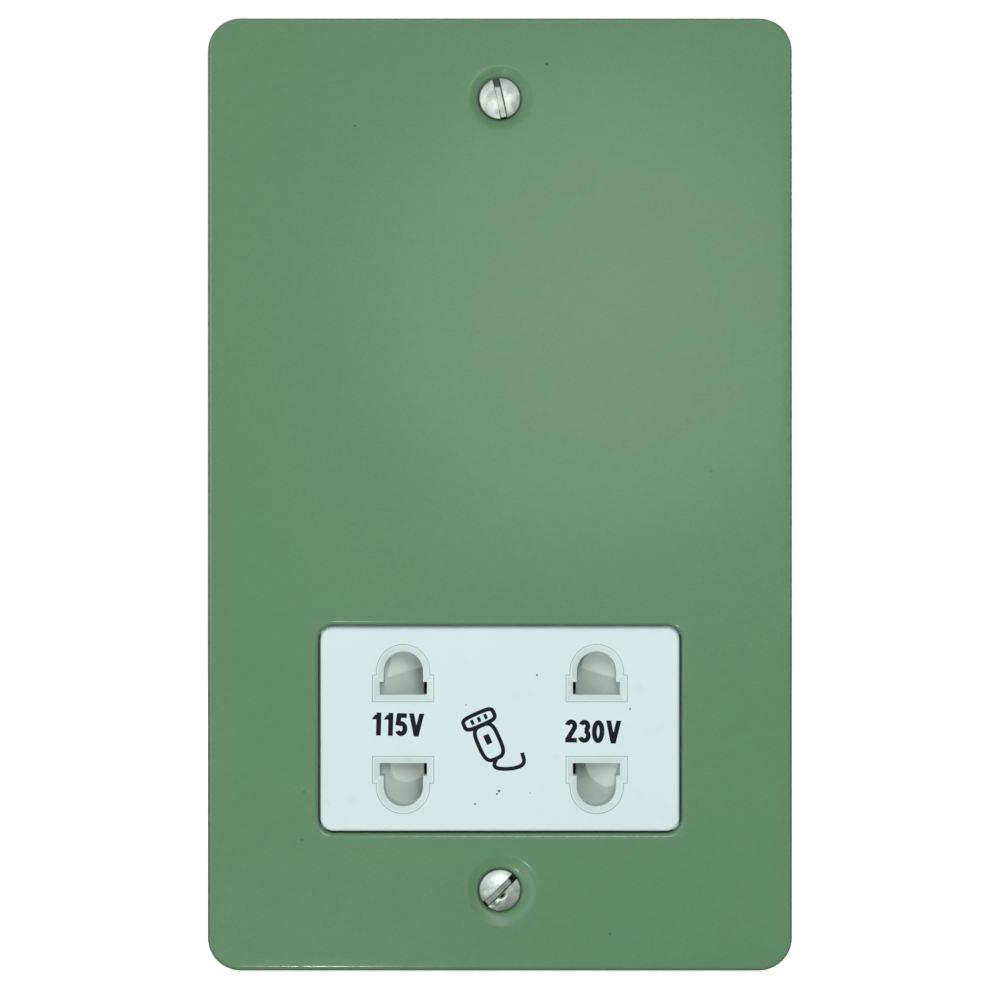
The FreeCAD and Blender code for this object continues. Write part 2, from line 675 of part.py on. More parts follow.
def aperture_block():
    """Moulding behind the insert, whose four collars come up flush through it."""
    moulding = body("aperture_block")
    plate = rounded("0", INSERT_Z, FLANGE_X, FLANGE_HALF, "(insert_corner + insert_gap)")
    pad(moulding, "block_plate", "y", BLOCK_FRONT, BLOCK_BACK, plate)
    collars = [keyhole(*place, "collar_wall") for place in APERTURES]
    pad(moulding, "block_collars", "y", FACE, BLOCK_FRONT, *collars)
    holes = [keyhole(*place) for place in APERTURES]
    pocket(moulding, "block_holes", "y", FACE, BLOCK_BACK, *holes)
    for number, place in enumerate(APERTURES):
        mouth = sketch_on(
            moulding, f"funnel_mouth_{number}", "y", FACE, [keyhole(*place, "funnel_width")]
        )
        throat = sketch_on(
            moulding, f"funnel_throat_{number}", "y", f"{FACE} + funnel_depth", [keyhole(*place)]
        )
        funnel = moulding.newObject("PartDesign::SubtractiveLoft", f"funnel_{number}")
        funnel.Profile = mouth
        funnel.Sections = [throat]
        funnel.Ruled = True
        doc.recompute()


def row_band(row, inner, outer):
    """The low and high height of a band that lies off the insert's centre line."""
    places = [f"({INSERT_Z} + {row} * {edge})" for edge in (inner, outer)]
    return places if row > 0 else places[::-1]


def shutter_slide():
    """Sliding shutter: a frame with four ramps that plug pins push aside, and four gates."""
    slide = body("shutter_slide")
    band = (f"({INSERT_Z} - {ROW_OUTER})", f"({INSERT_Z} + {ROW_OUTER})")
    frame = [
        (f"-{SHUTTER_END}", WEB_BACK), (f"-{SHUTTER_END}", RAMP_TOP),
        (f"-{RAMP_OUTER}", RAMP_TOP), (f"-{RAMP_OUTER}", WEB_FRONT),
        (RAMP_OUTER, WEB_FRONT), (RAMP_OUTER, RAMP_TOP),
        (SHUTTER_END, RAMP_TOP), (SHUTTER_END, WEB_BACK),
    ]
    pad(slide, "shutter_frame", "z", *band, frame[::-1])
    ends = (f"(-{SHUTTER_END})", SHUTTER_END)
    for row, name in ((1, "upper"), (-1, "lower")):
        low, high = row_band(row, ROW_INNER, ROW_OUTER)
        right = [(RAMP_OUTER, RAMP_TOP), (RAMP_OUTER, WEB_FRONT), (RAMP_INNER, WEB_FRONT)]
        left = [(f"-{u}", v) for u, v in right[::-1]]
        pad(slide, f"{name}_ramps", "z", low, high, left, right)
        low, high = row_band(row, ROW_OUTER, RAIL_OUTER)
        pad(slide, f"{name}_rail", "y", RAIL_FRONT, WEB_BACK, rectangle(*ends, low, high))
    stop_half = "(spring_room_height + stop_overhang)"
    stops = [
        rectangle(low, high, f"{INSERT_Z} - {stop_half}", f"{INSERT_Z} + {stop_half}")
        for low, high in (
            ("-spring_room_half - spring_stop_wall", "-spring_room_half"),
            ("spring_room_half", "spring_room_half + spring_stop_wall"),
        )
    ]
    pad(slide, "spring_stops", "y", f"{RAMP_TOP} + stop_front_gap", WEB_FRONT, *stops)
    gates = [
        rectangle(*ends, *row_band(row, ROW_INNER, ROW_OUTER))
        for row in (-1, 1)
        for ends in ((f"(-{RAMP_INNER})", f"(-{GATE_INNER})"), (GATE_INNER, RAMP_INNER))
    ]
    room = centred("0", INSERT_Z, "spring_room_half", "spring_room_height")
    pocket(slide, "shutter_gates", "y", WEB_FRONT, WEB_BACK, *gates, room)


def shutter_spring(label, side):
    """Coil spring along X between the fixed post and the shutter's stop."""
    wire, radius = value("spring_wire_radius"), value("spring_radius")
    near = value("spring_post_half + seat_gap") + wire
    far = value("spring_room_half - seat_gap") - wire
    height = far - near
    helix = Part.makeHelix(height / value("spring_turns"), height, radius)
    section = Part.Wire(
        Part.makeCircle(wire, FreeCAD.Vector(radius, 0, 0), FreeCAD.Vector(0, 1, 0))
    )
    coil = doc.addObject("Part::Feature", label)
    coil.Shape = Part.Wire(helix).makePipeShell([section], True, True)
    coil.Label = label
    middle = value(f"{WEB_BACK} - spring_radius - spring_wire_radius")
    base = FreeCAD.Vector(side * near, middle, value(INSERT_Z))
    coil.Placement = FreeCAD.Placement(
        base, FreeCAD.Rotation(FreeCAD.Vector(0, 0, 1), FreeCAD.Vector(side, 0, 0))
    )
    return node(coil)


BASE_SCREWS = [
    (f"{x} * {BASE_SCREW_X}", f"{INSERT_Z} + {row} * ({LEDGE_OUTER} - ledge_width / 2)")
    for x in (-1, 1)
    for row in (-1, 1)
]
RETAINER_SCREWS = [(f"{x} * retainer_screw_offset", INSERT_Z) for x in (-1, 1)]
COVER_SCREWS = [(f"{x} * {COVER_SCREW_X}", COVER_SCREW_Z) for x in (-1, 1)]
SHELF_SCREWS = [(f"{x} * shelf_screw_offset", SHELF_SCREW_Z) for x in (-1, 1)]
PILLARS = [
    (f"{x} * ({CORE_X} - pillar_size / 2)", z)
    for x in (-1, 1)
    for z in (f"({CORE_BOTTOM} + pillar_size / 2)", f"({CORE_TOP} - pillar_size / 2)")
]


def contact_base():
    """Moulding behind the shutter with a pocket for each pair of contact leaves."""
    base = body("contact_base")
    plate_half = f"({LEDGE_OUTER} - base_end_gap)"
    plate = rounded("0", INSERT_Z, BASE_X, plate_half, "base_corner")
    pad(base, "base_plate", "y", BASE_FRONT, BASE_BACK, plate)
    tower = rounded("0", INSERT_Z, TOWER_X, TOWER_HALF, "tower_corner")
    pad(base, "base_tower", "y", BASE_BACK, "tower_back", tower)
    post = centred("0", INSERT_Z, "spring_post_half", "(spring_room_height - post_play)")
    pad(base, "spring_post", "y", f"{RAMP_TOP} + post_front_gap", BASE_FRONT, post)
    pockets = [
        rectangle(
            f"{column} * {COLUMN} - pocket_half_width", f"{column} * {COLUMN} + pocket_half_width",
            *row_band(row, POCKET_INNER, POCKET_OUTER),
        )
        for column, row in APERTURES
    ]
    pocket(base, "base_pockets", "y", BASE_FRONT, "tower_back", *pockets)
    clearance_holes = [(x, z, "tapping_screw_radius + tapping_clearance") for x, z in BASE_SCREWS]
    pocket(base, "base_screw_holes", "y", BASE_FRONT, BASE_BACK, *clearance_holes)
    pilot_holes = [(x, z, "tapping_screw_radius + tapping_clearance") for x, z in RETAINER_SCREWS]
    pocket(base, "retainer_screw_holes", "y", "tower_back - retainer_pilot_depth", "tower_back", *pilot_holes)


def contact(label, columns, row):
    """Sprung brass leaves, two to a pin, on a strip behind the base with a solder tail."""
    strip = body(label)
    centres = [f"({column} * {COLUMN})" for column in columns]
    edge = "(leaf_half_width + strip_side_margin)"
    inner, outer = f"({ROW_INNER} + leaf_root_inset)", f"({ROW_OUTER} + leaf_root_outset)"
    plate = rectangle(
        f"{centres[0]} - {edge}", f"{centres[-1]} + {edge}", *row_band(row, inner, outer)
    )
    pad(strip, f"{label}_strip", "y", STRIP_FRONT, STRIP_BACK, plate)
    middle, tip = f"({BASE_FRONT} + leaf_bulge_depth)", f"({BASE_FRONT} + leaf_tip_gap)"
    for number, centre in enumerate(centres):
        for name, root, sense in (("near", inner, 1), ("far", outer, -1)):
            wall = [f"{INSERT_Z} + {row} * ({root} + {sense} * {reach})" for reach in (
                "0", "leaf_bulge", "leaf_tip_lean", "(leaf_gauge + leaf_tip_lean)",
                "(leaf_bulge + leaf_gauge)", "leaf_gauge",
            )]
            depths = [STRIP_FRONT, middle, tip, tip, middle, STRIP_FRONT]
            leaf = list(zip(depths, wall))
            pad(
                strip, f"{label}_{name}_{number}", "x", f"{centre} - leaf_half_width",
                f"{centre} + leaf_half_width", leaf,
            )
    tail_x = centres[0] if len(centres) == 1 else "0"
    tail_z = f"({INSERT_Z} + {row} * pin_offset)"
    tail = centred(tail_x, tail_z, "tail_half_width", "tail_gauge / 2")
    pad(strip, f"{label}_tail", "y", STRIP_BACK, f"{STRIP_BACK} + tail_length", tail)


CONTACTS = {"contact_115": ([-1], 1), "contact_230": ([1], 1), "common_contact": ([-1, 1], -1)}


def contact_retainer():
    """Cover plate that holds the contact strips to the base, slotted for their tails."""
    cover = body("contact_retainer")
    outline = rounded("0", INSERT_Z, RETAINER_X, RETAINER_HALF, "tower_corner")
    pad(cover, "retainer_plate", "y", STRIP_FRONT, RETAINER_BACK, outline)
    inside = centred(
        "0", INSERT_Z, f"({RETAINER_X} - retainer_rim)", f"({RETAINER_HALF} - retainer_rim)"
    )
    pocket(cover, "retainer_recess", "y", STRIP_FRONT, RETAINER_FLOOR, inside)
    slots = []
    for columns, row in CONTACTS.values():
        x = f"{columns[0]} * {COLUMN}" if len(columns) == 1 else "0"
        z = f"({INSERT_Z} + {row} * pin_offset)"
        slots.append(centred(x, z, "(tail_half_width + tail_slot_gap)", "(tail_gauge / 2 + tail_slot_gap)"))
    pocket(cover, "retainer_slots", "y", RETAINER_FLOOR, RETAINER_BACK, *slots)
    holes = [(x, z, "tapping_screw_radius + tapping_clearance") for x, z in RETAINER_SCREWS]
    pocket(cover, "retainer_holes", "y", RETAINER_FLOOR, RETAINER_BACK, *holes)


def tapping_screws(label, places, seat, length):
    """Pan head self-tapping screws driven from behind, as separate solids in one node."""
    made = []
    top = f"({seat} + seat_gap / 2 + tapping_head_depth)"
    for number, (x, z) in enumerate(places):
        name = f"{label}_{number}"
        head = rod(
            f"{name}_head", x, z, "tapping_head_radius", f"{seat} + seat_gap / 2", top
        )
        shank = rod(
            f"{name}_shank", x, z, "tapping_screw_radius",
            f"{seat} + seat_gap / 2 - {length}", f"{seat} + seat_gap",
        )
        drive = block(
            f"{name}_drive", (f"{x} - tapping_head_radius", f"{x} + tapping_head_radius"),
            (f"{top} - tapping_drive_depth", f"{top} + cut_overrun"),
            (f"{z} - tapping_drive_half", f"{z} + tapping_drive_half"),
        )
        made.append(less(name, fused(f"{name}_blank", [head, shank]), drive))
    group(label, made)


def front_housing():
    """Front half of the body: a tub open to the back, with ledges for the mechanism."""
    tub = body("front_housing")
    outline = rounded("0", "0", BODY_X, BODY_Z, "body_corner")
    pad(tub, "housing_blank", "y", HOUSING_FRONT, "body_joint", outline)
    ears = [
        rounded(
            f"{x} * stud_across", f"{z} * ({STUD_Z} + ear_half + {CAVITY_Z}) / 2", "ear_half",
            f"(({STUD_Z} + ear_half - {CAVITY_Z}) / 2)", "ear_round",
        )
        for x in (-1, 1)
        for z in (-1, 1)
    ]
    pad(tub, "housing_ears", "y", HOUSING_FRONT, HOUSING_FLOOR, *ears)
    cavity = rounded("0", "0", CAVITY_X, CAVITY_Z, "(body_corner - body_wall)")
    pocket(tub, "housing_cavity", "y", HOUSING_FLOOR, "body_joint", cavity)
    window = rounded("0", INSERT_Z, WINDOW_X, WINDOW_HALF, "(insert_corner + insert_gap * 2)")
    pocket(tub, "housing_window", "y", HOUSING_FRONT, HOUSING_FLOOR, window)
    reliefs = [
        ("0", f"{z} * {FIXING_Z}", "(dish_radius + plate_gauge + insert_gap)") for z in (-1, 1)
    ]
    pocket(tub, "seat_reliefs", "y", HOUSING_FRONT, f"{HOUSING_FRONT} + seat_relief", *reliefs)
    ledges = [
        rectangle(f"(-{CAVITY_X})", CAVITY_X, *row_band(row, LEDGE_INNER, LEDGE_OUTER))
        for row in (-1, 1)
    ]
    pad(tub, "housing_ledges", "y", LEDGE_FRONT, LEDGE_BACK, *ledges)
    bosses = [(x, z, BOSS_RADIUS) for x, z in SHELF_SCREWS + COVER_SCREWS]
    pad(tub, "housing_bosses", "y", HOUSING_FLOOR, "body_joint", *bosses)
    pillars = [centred(x, z, "pillar_size / 2", "pillar_size / 2") for x, z in PILLARS]
    pad(tub, "housing_pillars", "y", HOUSING_FLOOR, f"{CORE_FRONT} - seat_gap", *pillars)
    pilots = [(x, z, "tapping_screw_radius + tapping_clearance") for x, z in SHELF_SCREWS + COVER_SCREWS]
    pocket(tub, "housing_pilots", "y", "body_joint - cover_screw_length", "body_joint", *pilots)
    sockets = [(x, z, "tapping_screw_radius + tapping_clearance") for x, z in BASE_SCREWS]
    pocket(tub, "ledge_pilots", "y", f"{LEDGE_BACK} - base_pilot_depth", LEDGE_BACK, *sockets)
    holes = [
        (f"{x} * stud_across", f"{z} * {STUD_Z}", "stud_radius + stud_clearance")
        for x in (-1, 1)
        for z in (-1, 1)
    ]
    pocket(tub, "ear_holes", "y", HOUSING_FRONT, HOUSING_FLOOR, *holes)


def terminal_front(name):
    """Where a terminal's front face lies: the earth strap runs under its terminal."""
    return f"({TERMINAL_FRONT} + strap_gauge + seat_gap)" if name == "earth" else TERMINAL_FRONT


def rear_cover():
    """Rear half of the body, stepped at the top into a shelf for the terminals."""
    cover = body("rear_cover")
    outline = rounded("0", "0", BODY_X, BODY_Z, "body_corner")
    pad(cover, "cover_shelf", "y", COVER_FRONT, SHELF_BACK, outline)
    low, high = f"(-{BODY_Z})", SHELF_Z
    middle, half = f"(({low} + {high}) / 2)", f"(({high} - {low}) / 2)"
    tub = rounded("0", middle, BODY_X, half, "body_corner")
    pad(cover, "cover_tub", "y", SHELF_BACK, "body_back", tub)
    soften(cover, "cover_rear_edge", "cover_rear_round", at_depth("body_back"))
    cavity = rounded("0", middle, CAVITY_X, f"({half} - body_wall)", "(body_corner - body_wall)")
    pocket(cover, "cover_cavity", "y", COVER_FRONT, COVER_FLOOR, cavity)
    ribs = [centred(x, z, "pillar_size / 2", "pillar_size / 2") for x, z in PILLARS]
    pad(cover, "cover_ribs", "y", f"{CORE_BACK} + seat_gap", COVER_FLOOR, *ribs)
    wells = [(x, z, "tapping_head_radius + screw_head_room + well_wall") for x, z in COVER_SCREWS]
    pad(cover, "cover_wells", "y", COVER_FRONT, COVER_FLOOR, *wells)
    bores = [(x, z, "tapping_head_radius + screw_head_room") for x, z in COVER_SCREWS]
    pocket(cover, "well_bores", "y", SHELF_BACK, "body_back", *bores)
    throughs = [(x, z, "tapping_screw_radius + tapping_clearance") for x, z in SHELF_SCREWS + COVER_SCREWS]
    pocket(cover, "cover_screw_holes", "y", COVER_FRONT, SHELF_BACK, *throughs)
    slots = [
        centred(x, TERMINAL_TAIL_Z, "(terminal_tail_half + tail_slot_gap)",
                "(terminal_tail_gauge / 2 + tail_slot_gap)")
        for x in TERMINALS.values()
    ]
    pocket(cover, "tail_slots", "y", COVER_FRONT, SHELF_BACK, *slots)
    inner = "(seat_gap * 2 + tongue_gauge)"
    for name, outer, front, back in (
        ("tongue_roots", "(-seat_gap)", COVER_FRONT, f"{COVER_FRONT} + tongue_depth"),
        ("tongues", "(seat_gap * 2)", f"{COVER_FRONT} - tongue_depth", COVER_FRONT),
    ):
        heights = (f"{INSERT_Z} - tongue_half", f"{INSERT_Z} + tongue_half")
        bottom = (f"-{CAVITY_Z} + {outer}", f"-{CAVITY_Z} + {inner}")
        left = (f"-{CAVITY_X} + {outer}", f"-{CAVITY_X} + {inner}")
        right = (f"{CAVITY_X} - {inner}", f"{CAVITY_X} - {outer}")
        shapes = [rectangle("-tongue_half", "tongue_half", *bottom)]
        shapes += [rectangle(*side, *heights) for side in (left, right)]
        pad(cover, name, "y", front, back, *shapes)
    inner = "(terminal_width / 2 + terminal_play)"
    outer = f"({inner} + terminal_pocket_wall)"
    heights = (SHELF_Z, f"{TERMINAL_TOP} + cheek_rise")
    for name, x in TERMINALS.items():
        cheeks = [
            rectangle(f"{x} - {outer}", f"{x} - {inner}", *heights),
            rectangle(f"{x} + {inner}", f"{x} + {outer}", *heights),
        ]
        pad(cover, f"{name}_pocket", "y", SHELF_BACK, f"{SHELF_BACK} + cheek_height", *cheeks)


def terminal(name, x):
    """Brass block with a wire bore along Z, a clamp screw hole and a tail into the body."""
    label = f"{name}_terminal"
    brass = body(label)
    front = terminal_front(name)
    back = f"({front} + terminal_depth)"
    outline = rectangle(
        f"{x} - terminal_width / 2", f"{x} + terminal_width / 2", TERMINAL_BOTTOM, TERMINAL_TOP
    )
    pad(brass, f"{label}_block", "y", front, back, outline)
    soften(brass, f"{label}_edges", "terminal_edge_round", at_depth(back))
    tail = centred(x, TERMINAL_TAIL_Z, "terminal_tail_half", "terminal_tail_gauge / 2")
    pad(brass, f"{label}_tail", "y", TERMINAL_TAIL_END, front, tail)
    bore = f"({front} + terminal_bore_depth)"
    pocket(brass, f"{label}_bore", "z", TERMINAL_BOTTOM, TERMINAL_TOP, (x, bore, "terminal_bore"))
    hole = (x, TERMINAL_TAIL_Z, "terminal_screw_hole")
    pocket(brass, f"{label}_screw_hole", "y", bore, back, hole)


def terminal_screws():
    """Slotted clamp screws, backed off clear of the wire bores."""
    made = []
    z = TERMINAL_TAIL_Z
    for name, x in TERMINALS.items():
        back = f"({terminal_front(name)} + terminal_depth)"
        bore_top = f"({terminal_front(name)} + terminal_bore_depth + terminal_bore)"
        crown = f"({back} + terminal_head_depth)"
        shank = rod(
            f"{name}_clamp_shank", x, z, "terminal_screw_radius", f"{bore_top} + seat_gap",
            f"{back} + terminal_head_depth / 2",
        )
        head = rod(
            f"{name}_clamp_head", x, z, "terminal_head_radius", f"{back} + clamp_head_gap", crown
        )
        slot = block(
            f"{name}_clamp_slot", (f"{x} - clamp_slot_half", f"{x} + clamp_slot_half"),
            (f"{crown} - clamp_slot_depth", f"{crown} + cut_overrun"),
            (f"{z} - terminal_head_radius", f"{z} + terminal_head_radius"),
        )
        made.append(less(f"{name}_clamp", fused(f"{name}_clamp_blank", [shank, head]), slot))
    group("terminal_screws", made)


def earth_strap():
    """Folded strap from a plate stud, up the body's top and under the earth terminal."""
    strap = body("earth_strap")
    foot, top = HOUSING_FLOOR, TERMINAL_FRONT
    wall = f"({BODY_Z} + strap_wall_gap)"
    fold = [
        (f"{foot} + seat_gap", f"({STUD_Z} + strap_foot)"), (f"{foot} + seat_gap", wall),
        (top, wall), (top, TERMINAL_BOTTOM), (f"{top} + strap_gauge", TERMINAL_BOTTOM),
        (f"{top} + strap_gauge", f"{wall} + strap_gauge"),
        (f"{foot} + seat_gap + strap_gauge", f"{wall} + strap_gauge"),
        (f"{foot} + seat_gap + strap_gauge", f"({STUD_Z} + strap_foot)"),
    ]
    pad(strap, "strap_fold", "x", "-stud_across - strap_half_width", "-stud_across + strap_half_width",
        fold)
    hole = ("-stud_across", STUD_Z, "stud_radius + stud_clearance")
    pocket(strap, "strap_eyelet", "y", foot, f"{foot} + strap_gauge * 2", hole)
    slot = centred("-stud_across", TERMINAL_TAIL_Z, "(terminal_tail_half + strap_slot_gap)",
                   "(terminal_tail_gauge / 2 + strap_slot_gap)")
    pocket(strap, "strap_slot", "y", f"{top} - seat_gap", f"{top} + strap_gauge", slot)


def stud_fasteners():
    """A washer and a hexagon nut on each plate stud; the strap takes one washer's place."""
    washers, nuts = [], []
    for x_side, z_side in ((-1, -1), (1, -1), (1, 1), (-1, 1)):
        name = f"{'left' if x_side < 0 else 'right'}_{'lower' if z_side < 0 else 'upper'}"
        x, z = f"{x_side} * stud_across", f"{z_side} * {STUD_Z}"
        seat = f"({HOUSING_FLOOR} + seat_gap)"
        top = f"({seat} + washer_gauge + seat_gap)"
        if (x_side, z_side) != (-1, 1):
            disc = rod(f"{name}_disc", x, z, "washer_radius", seat, f"{seat} + washer_gauge")
            hole = rod(
                f"{name}_disc_hole", x, z, "stud_radius + washer_play",
                f"{seat} - cut_overrun", f"{top} + cut_overrun",
            )
            washers.append(less(f"{name}_washer", disc, hole))
        hexagon = primitive(
            "Prism", f"{name}_hexagon", x, top, z, axis="y",
            Circumradius="nut_across_flats / sqrt(3)", Height="nut_height",
        )
        hexagon.Polygon = 6
        bore = rod(
            f"{name}_nut_bore", x, z, "stud_radius + seat_gap",
            f"{top} - cut_overrun", f"{top} + nut_height + cut_overrun",
        )
        nuts.append(less(f"{name}_nut", hexagon, bore))
    group("stud_washers", washers)
    group("stud_nuts", nuts)


def transformer():
    """Laminated E and I stacks, a split bobbin, its two windings, tags and a steel clamp."""
    stack = body("core_e_stack")
    unit = "lamination_module"
    outline = [
        (f"-{CORE_X}", CORE_BOTTOM), (CORE_X, CORE_BOTTOM), (CORE_X, WINDOW_TOP),
        (f"{unit} * 2", WINDOW_TOP), (f"{unit} * 2", WINDOW_BOTTOM), (unit, WINDOW_BOTTOM),
        (unit, WINDOW_TOP), (f"-{unit}", WINDOW_TOP), (f"-{unit}", WINDOW_BOTTOM),
        (f"-{unit} * 2", WINDOW_BOTTOM), (f"-{unit} * 2", WINDOW_TOP), (f"-{CORE_X}", WINDOW_TOP),
    ]
    pad(stack, "e_laminations", "y", CORE_FRONT, CORE_BACK, outline)
    bar = body("core_i_stack")
    top = rectangle(f"-{CORE_X}", CORE_X, f"{WINDOW_TOP} + seat_gap / 2", CORE_TOP)
    pad(bar, "i_laminations", "y", CORE_FRONT, CORE_BACK, top)

    bobbin = body("bobbin")
    hole = (f"({unit} + bobbin_play)", "(core_stack / 2 + bobbin_play)")
    tube = tuple(f"({half} + bobbin_wall)" for half in hole)
    flange = ("(lamination_module * 2 - flange_side_gap)", f"(core_stack / 2 + {COIL_REACH})")
    bottom, lid = f"({WINDOW_BOTTOM} + bobbin_play)", f"({WINDOW_TOP} - bobbin_play)"
    split = f"(({bottom} + {lid}) / 2)"
    pad(bobbin, "bobbin_tube", "z", bottom, lid, centred("0", COIL_Y, *tube))
    for name, low in (
        ("lower", bottom), ("middle", f"({split} - bobbin_wall / 2)"), ("upper", f"({lid} - bobbin_wall)")
    ):
        plate = rounded("0", COIL_Y, *flange, "flange_corner")
        pad(bobbin, f"{name}_flange", "z", low, f"{low} + bobbin_wall", plate)
    pocket(bobbin, "bobbin_hole", "z", bottom, lid, centred("0", COIL_Y, *hole))

    tag_y = "(coil_front + tag_setback)"
    reach = "(bobbin_wall + seat_gap)"
    tags = [
        (f"{column} * tag_pitch", f"{lid} - bobbin_wall", 1) for column in (-1, 1)
    ] + [(f"{column} * tag_pitch", f"{bottom} + {reach}", -1) for column in (-1, 0, 1)]
    pegs = []
    for number, (x, z, sense) in enumerate(tags):
        low = f"({z})" if sense > 0 else f"({z} - {reach} - tag_length + bobbin_wall)"
        peg = primitive(
            "Cylinder", f"tag_{number}", x, tag_y, low, Radius="tag_radius",
            Height="tag_length + seat_gap",
        )
        pegs.append(peg)
    group("winding_tags", pegs)
    upper = [(x, tag_y, "tag_radius + seat_gap") for x, z, sense in tags if sense > 0]
    pocket(bobbin, "upper_tag_holes", "z", f"{lid} - bobbin_wall", lid, *upper)
    lower = [(x, tag_y, "tag_radius + seat_gap") for x, z, sense in tags if sense < 0]
    pocket(bobbin, "lower_tag_holes", "z", bottom, f"{bottom} + bobbin_wall", *lower)

    coil = tuple(f"({half} - winding_recess)" for half in flange)
    core = tuple(f"({half} + seat_gap)" for half in tube)
    chambers = {
        "secondary_winding": (f"{bottom} + {reach} + seat_gap", f"{split} - bobbin_wall / 2 - seat_gap"),
        "primary_winding": (f"{split} + bobbin_wall / 2 + seat_gap", f"{lid} - {reach}"),
    }
    for label, (low, high) in chambers.items():
        winding = body(label)
        pad(winding, f"{label}_turns", "z", low, high, rounded("0", COIL_Y, *coil, "winding_corner"))
        pocket(winding, f"{label}_core", "z", low, high, centred("0", COIL_Y, *core))

    clamp = body("core_clamp")
    inner, outer = f"({CORE_X} + seat_gap)", f"({CORE_X} + seat_gap + clamp_gauge)"
    crown = f"({CORE_TOP} + seat_gap)"
    heel = f"({CORE_BOTTOM} - seat_gap)"
    band = [
        (f"{outer} - clamp_lip", f"{heel} - clamp_gauge"), (outer, f"{heel} - clamp_gauge"),
        (outer, f"{crown} + clamp_gauge"), (f"-{outer}", f"{crown} + clamp_gauge"),
        (f"-{outer}", f"{heel} - clamp_gauge"), (f"-{outer} + clamp_lip", f"{heel} - clamp_gauge"),
        (f"-{outer} + clamp_lip", heel), (f"-{inner}", heel), (f"-{inner}", crown),
        (inner, crown), (inner, heel), (f"{outer} - clamp_lip", heel),
    ]
    front, back = f"({COIL_Y} - clamp_width / 2)", f"({COIL_Y} + clamp_width / 2)"
    pad(clamp, "clamp_band", "y", front, back, band)
    tab = rectangle(
        "-stud_across - clamp_tab_half", "-stud_across + clamp_tab_half",
        f"{crown} + clamp_gauge / 2", f"{crown} + clamp_tab_height",
    )
    pad(clamp, "clamp_tab", "y", front, f"{front} + clamp_gauge", tab)
    return {"tag_y": tag_y, "lid": lid, "bottom": bottom, "split": split, "clamp_front": front}


def thermal_cutout(places):
    """Sealed thermal cut-out lying against the side of the primary winding."""
    cutout = body("thermal_cutout")
    side = "(lamination_module * 2 - flange_side_gap - winding_recess + seat_gap * 2)"
    low = f"({places['split']} + cutout_rise)"
    x, y = f"({side} + cutout_thickness / 2)", places["tag_y"]
    outline = rounded(x, y, "cutout_thickness / 2", "cutout_width / 2", "cutout_round")
    pad(cutout, "cutout_can", "z", low, f"{low} + cutout_length", outline)
    return x, y, f"({low} + cutout_length)"


def lead(label, places):
    """Insulated lead: straight runs joined by tangent arcs of one bend radius."""
    points = [FreeCAD.Vector(*(value(text) for text in place)) for place in places]
    bend, radius = value("lead_bend"), value("lead_radius")
    edges, start = [], points[0]
    for before, corner, after in zip(points, points[1:], points[2:]):
        arrive, leave = (corner - before).normalize(), (after - corner).normalize()
        half_turn = arrive.getAngle(leave) / 2
        cut = bend * math.tan(half_turn)
        first, last = corner - arrive * cut, corner + leave * cut
        towards = (leave - arrive).normalize()
        middle = corner + towards * (bend / math.cos(half_turn) - bend)
        edges += [Part.LineSegment(start, first).toShape(), Part.Arc(first, middle, last).toShape()]
        start = last
    edges.append(Part.LineSegment(start, points[-1]).toShape())
    heading = points[1] - points[0]
    section = Part.Wire(Part.makeCircle(radius, points[0], heading))
    tube = doc.addObject("Part::Feature", label)
    tube.Shape = Part.Wire(edges).makePipeShell([section], True, False)
    tube.Label = label
    return node(tube)


def leads(places, cutout):
    """The seven leads between terminals, cut-out, windings, core and contacts."""
    tail_z = TERMINAL_TAIL_Z
    down = "(coil_front + earth_lead_setback)"
    x, y, top = cutout
    entry, leave = f"{x} + lead_pitch / 2", f"{x} - lead_pitch / 2"
    above = f"{places['lid']} + tag_length - bobbin_wall + seat_gap * 2"
    below = f"{places['bottom']} - tag_length + bobbin_wall - seat_gap * 2"
    start = f"{TERMINAL_TAIL_END} - seat_gap"
    level = f"{CORE_TOP} - cutout_lead_level"
    lead("live_lead", [
        ("stud_across", start, tail_z), ("stud_across", y, tail_z),
        (entry, y, f"{tail_z} - live_lead_fall"), (entry, y, f"{top} + seat_gap"),
    ])
    lead("cutout_lead", [
        (leave, y, f"{top} + seat_gap"), (leave, places["tag_y"], level),
        ("tag_pitch", places["tag_y"], level), ("tag_pitch", places["tag_y"], above),
    ])
    neutral = TERMINALS["neutral"]
    lead("neutral_lead", [
        (neutral, start, tail_z), (neutral, places["tag_y"], tail_z),
        ("-tag_pitch", places["tag_y"], f"{tail_z} - neutral_lead_fall"),
        ("-tag_pitch", places["tag_y"], above),
    ])
    clamp_face = f"{places['clamp_front']} - seat_gap"
    lead("earth_lead", [
        ("-stud_across", start, tail_z), ("-stud_across", down, tail_z),
        ("-stud_across", down, f"{CORE_TOP} + earth_lead_level"),
        ("-stud_across", clamp_face, f"{CORE_TOP} + earth_lead_level"),
    ])
    tail_back = f"{STRIP_BACK} + tail_joint_height"
    for label, column, row, dip in (
        ("lead_115", -1, 1, "outlet_lead_dip"), ("lead_230", 1, 1, "outlet_lead_dip"),
        ("common_lead", 0, -1, "common_lead_dip"),
    ):
        peg, tail = f"{column} * tag_pitch", f"{column} * {COLUMN}"
        low = f"{CORE_BOTTOM} - {dip}"
        end = f"{INSERT_Z} + {row} * pin_offset + tail_gauge / 2 + seat_gap"
        lead(label, [
            (peg, places["tag_y"], below), (peg, places["tag_y"], low),
            (tail, tail_back, low), (tail, tail_back, end),
        ])


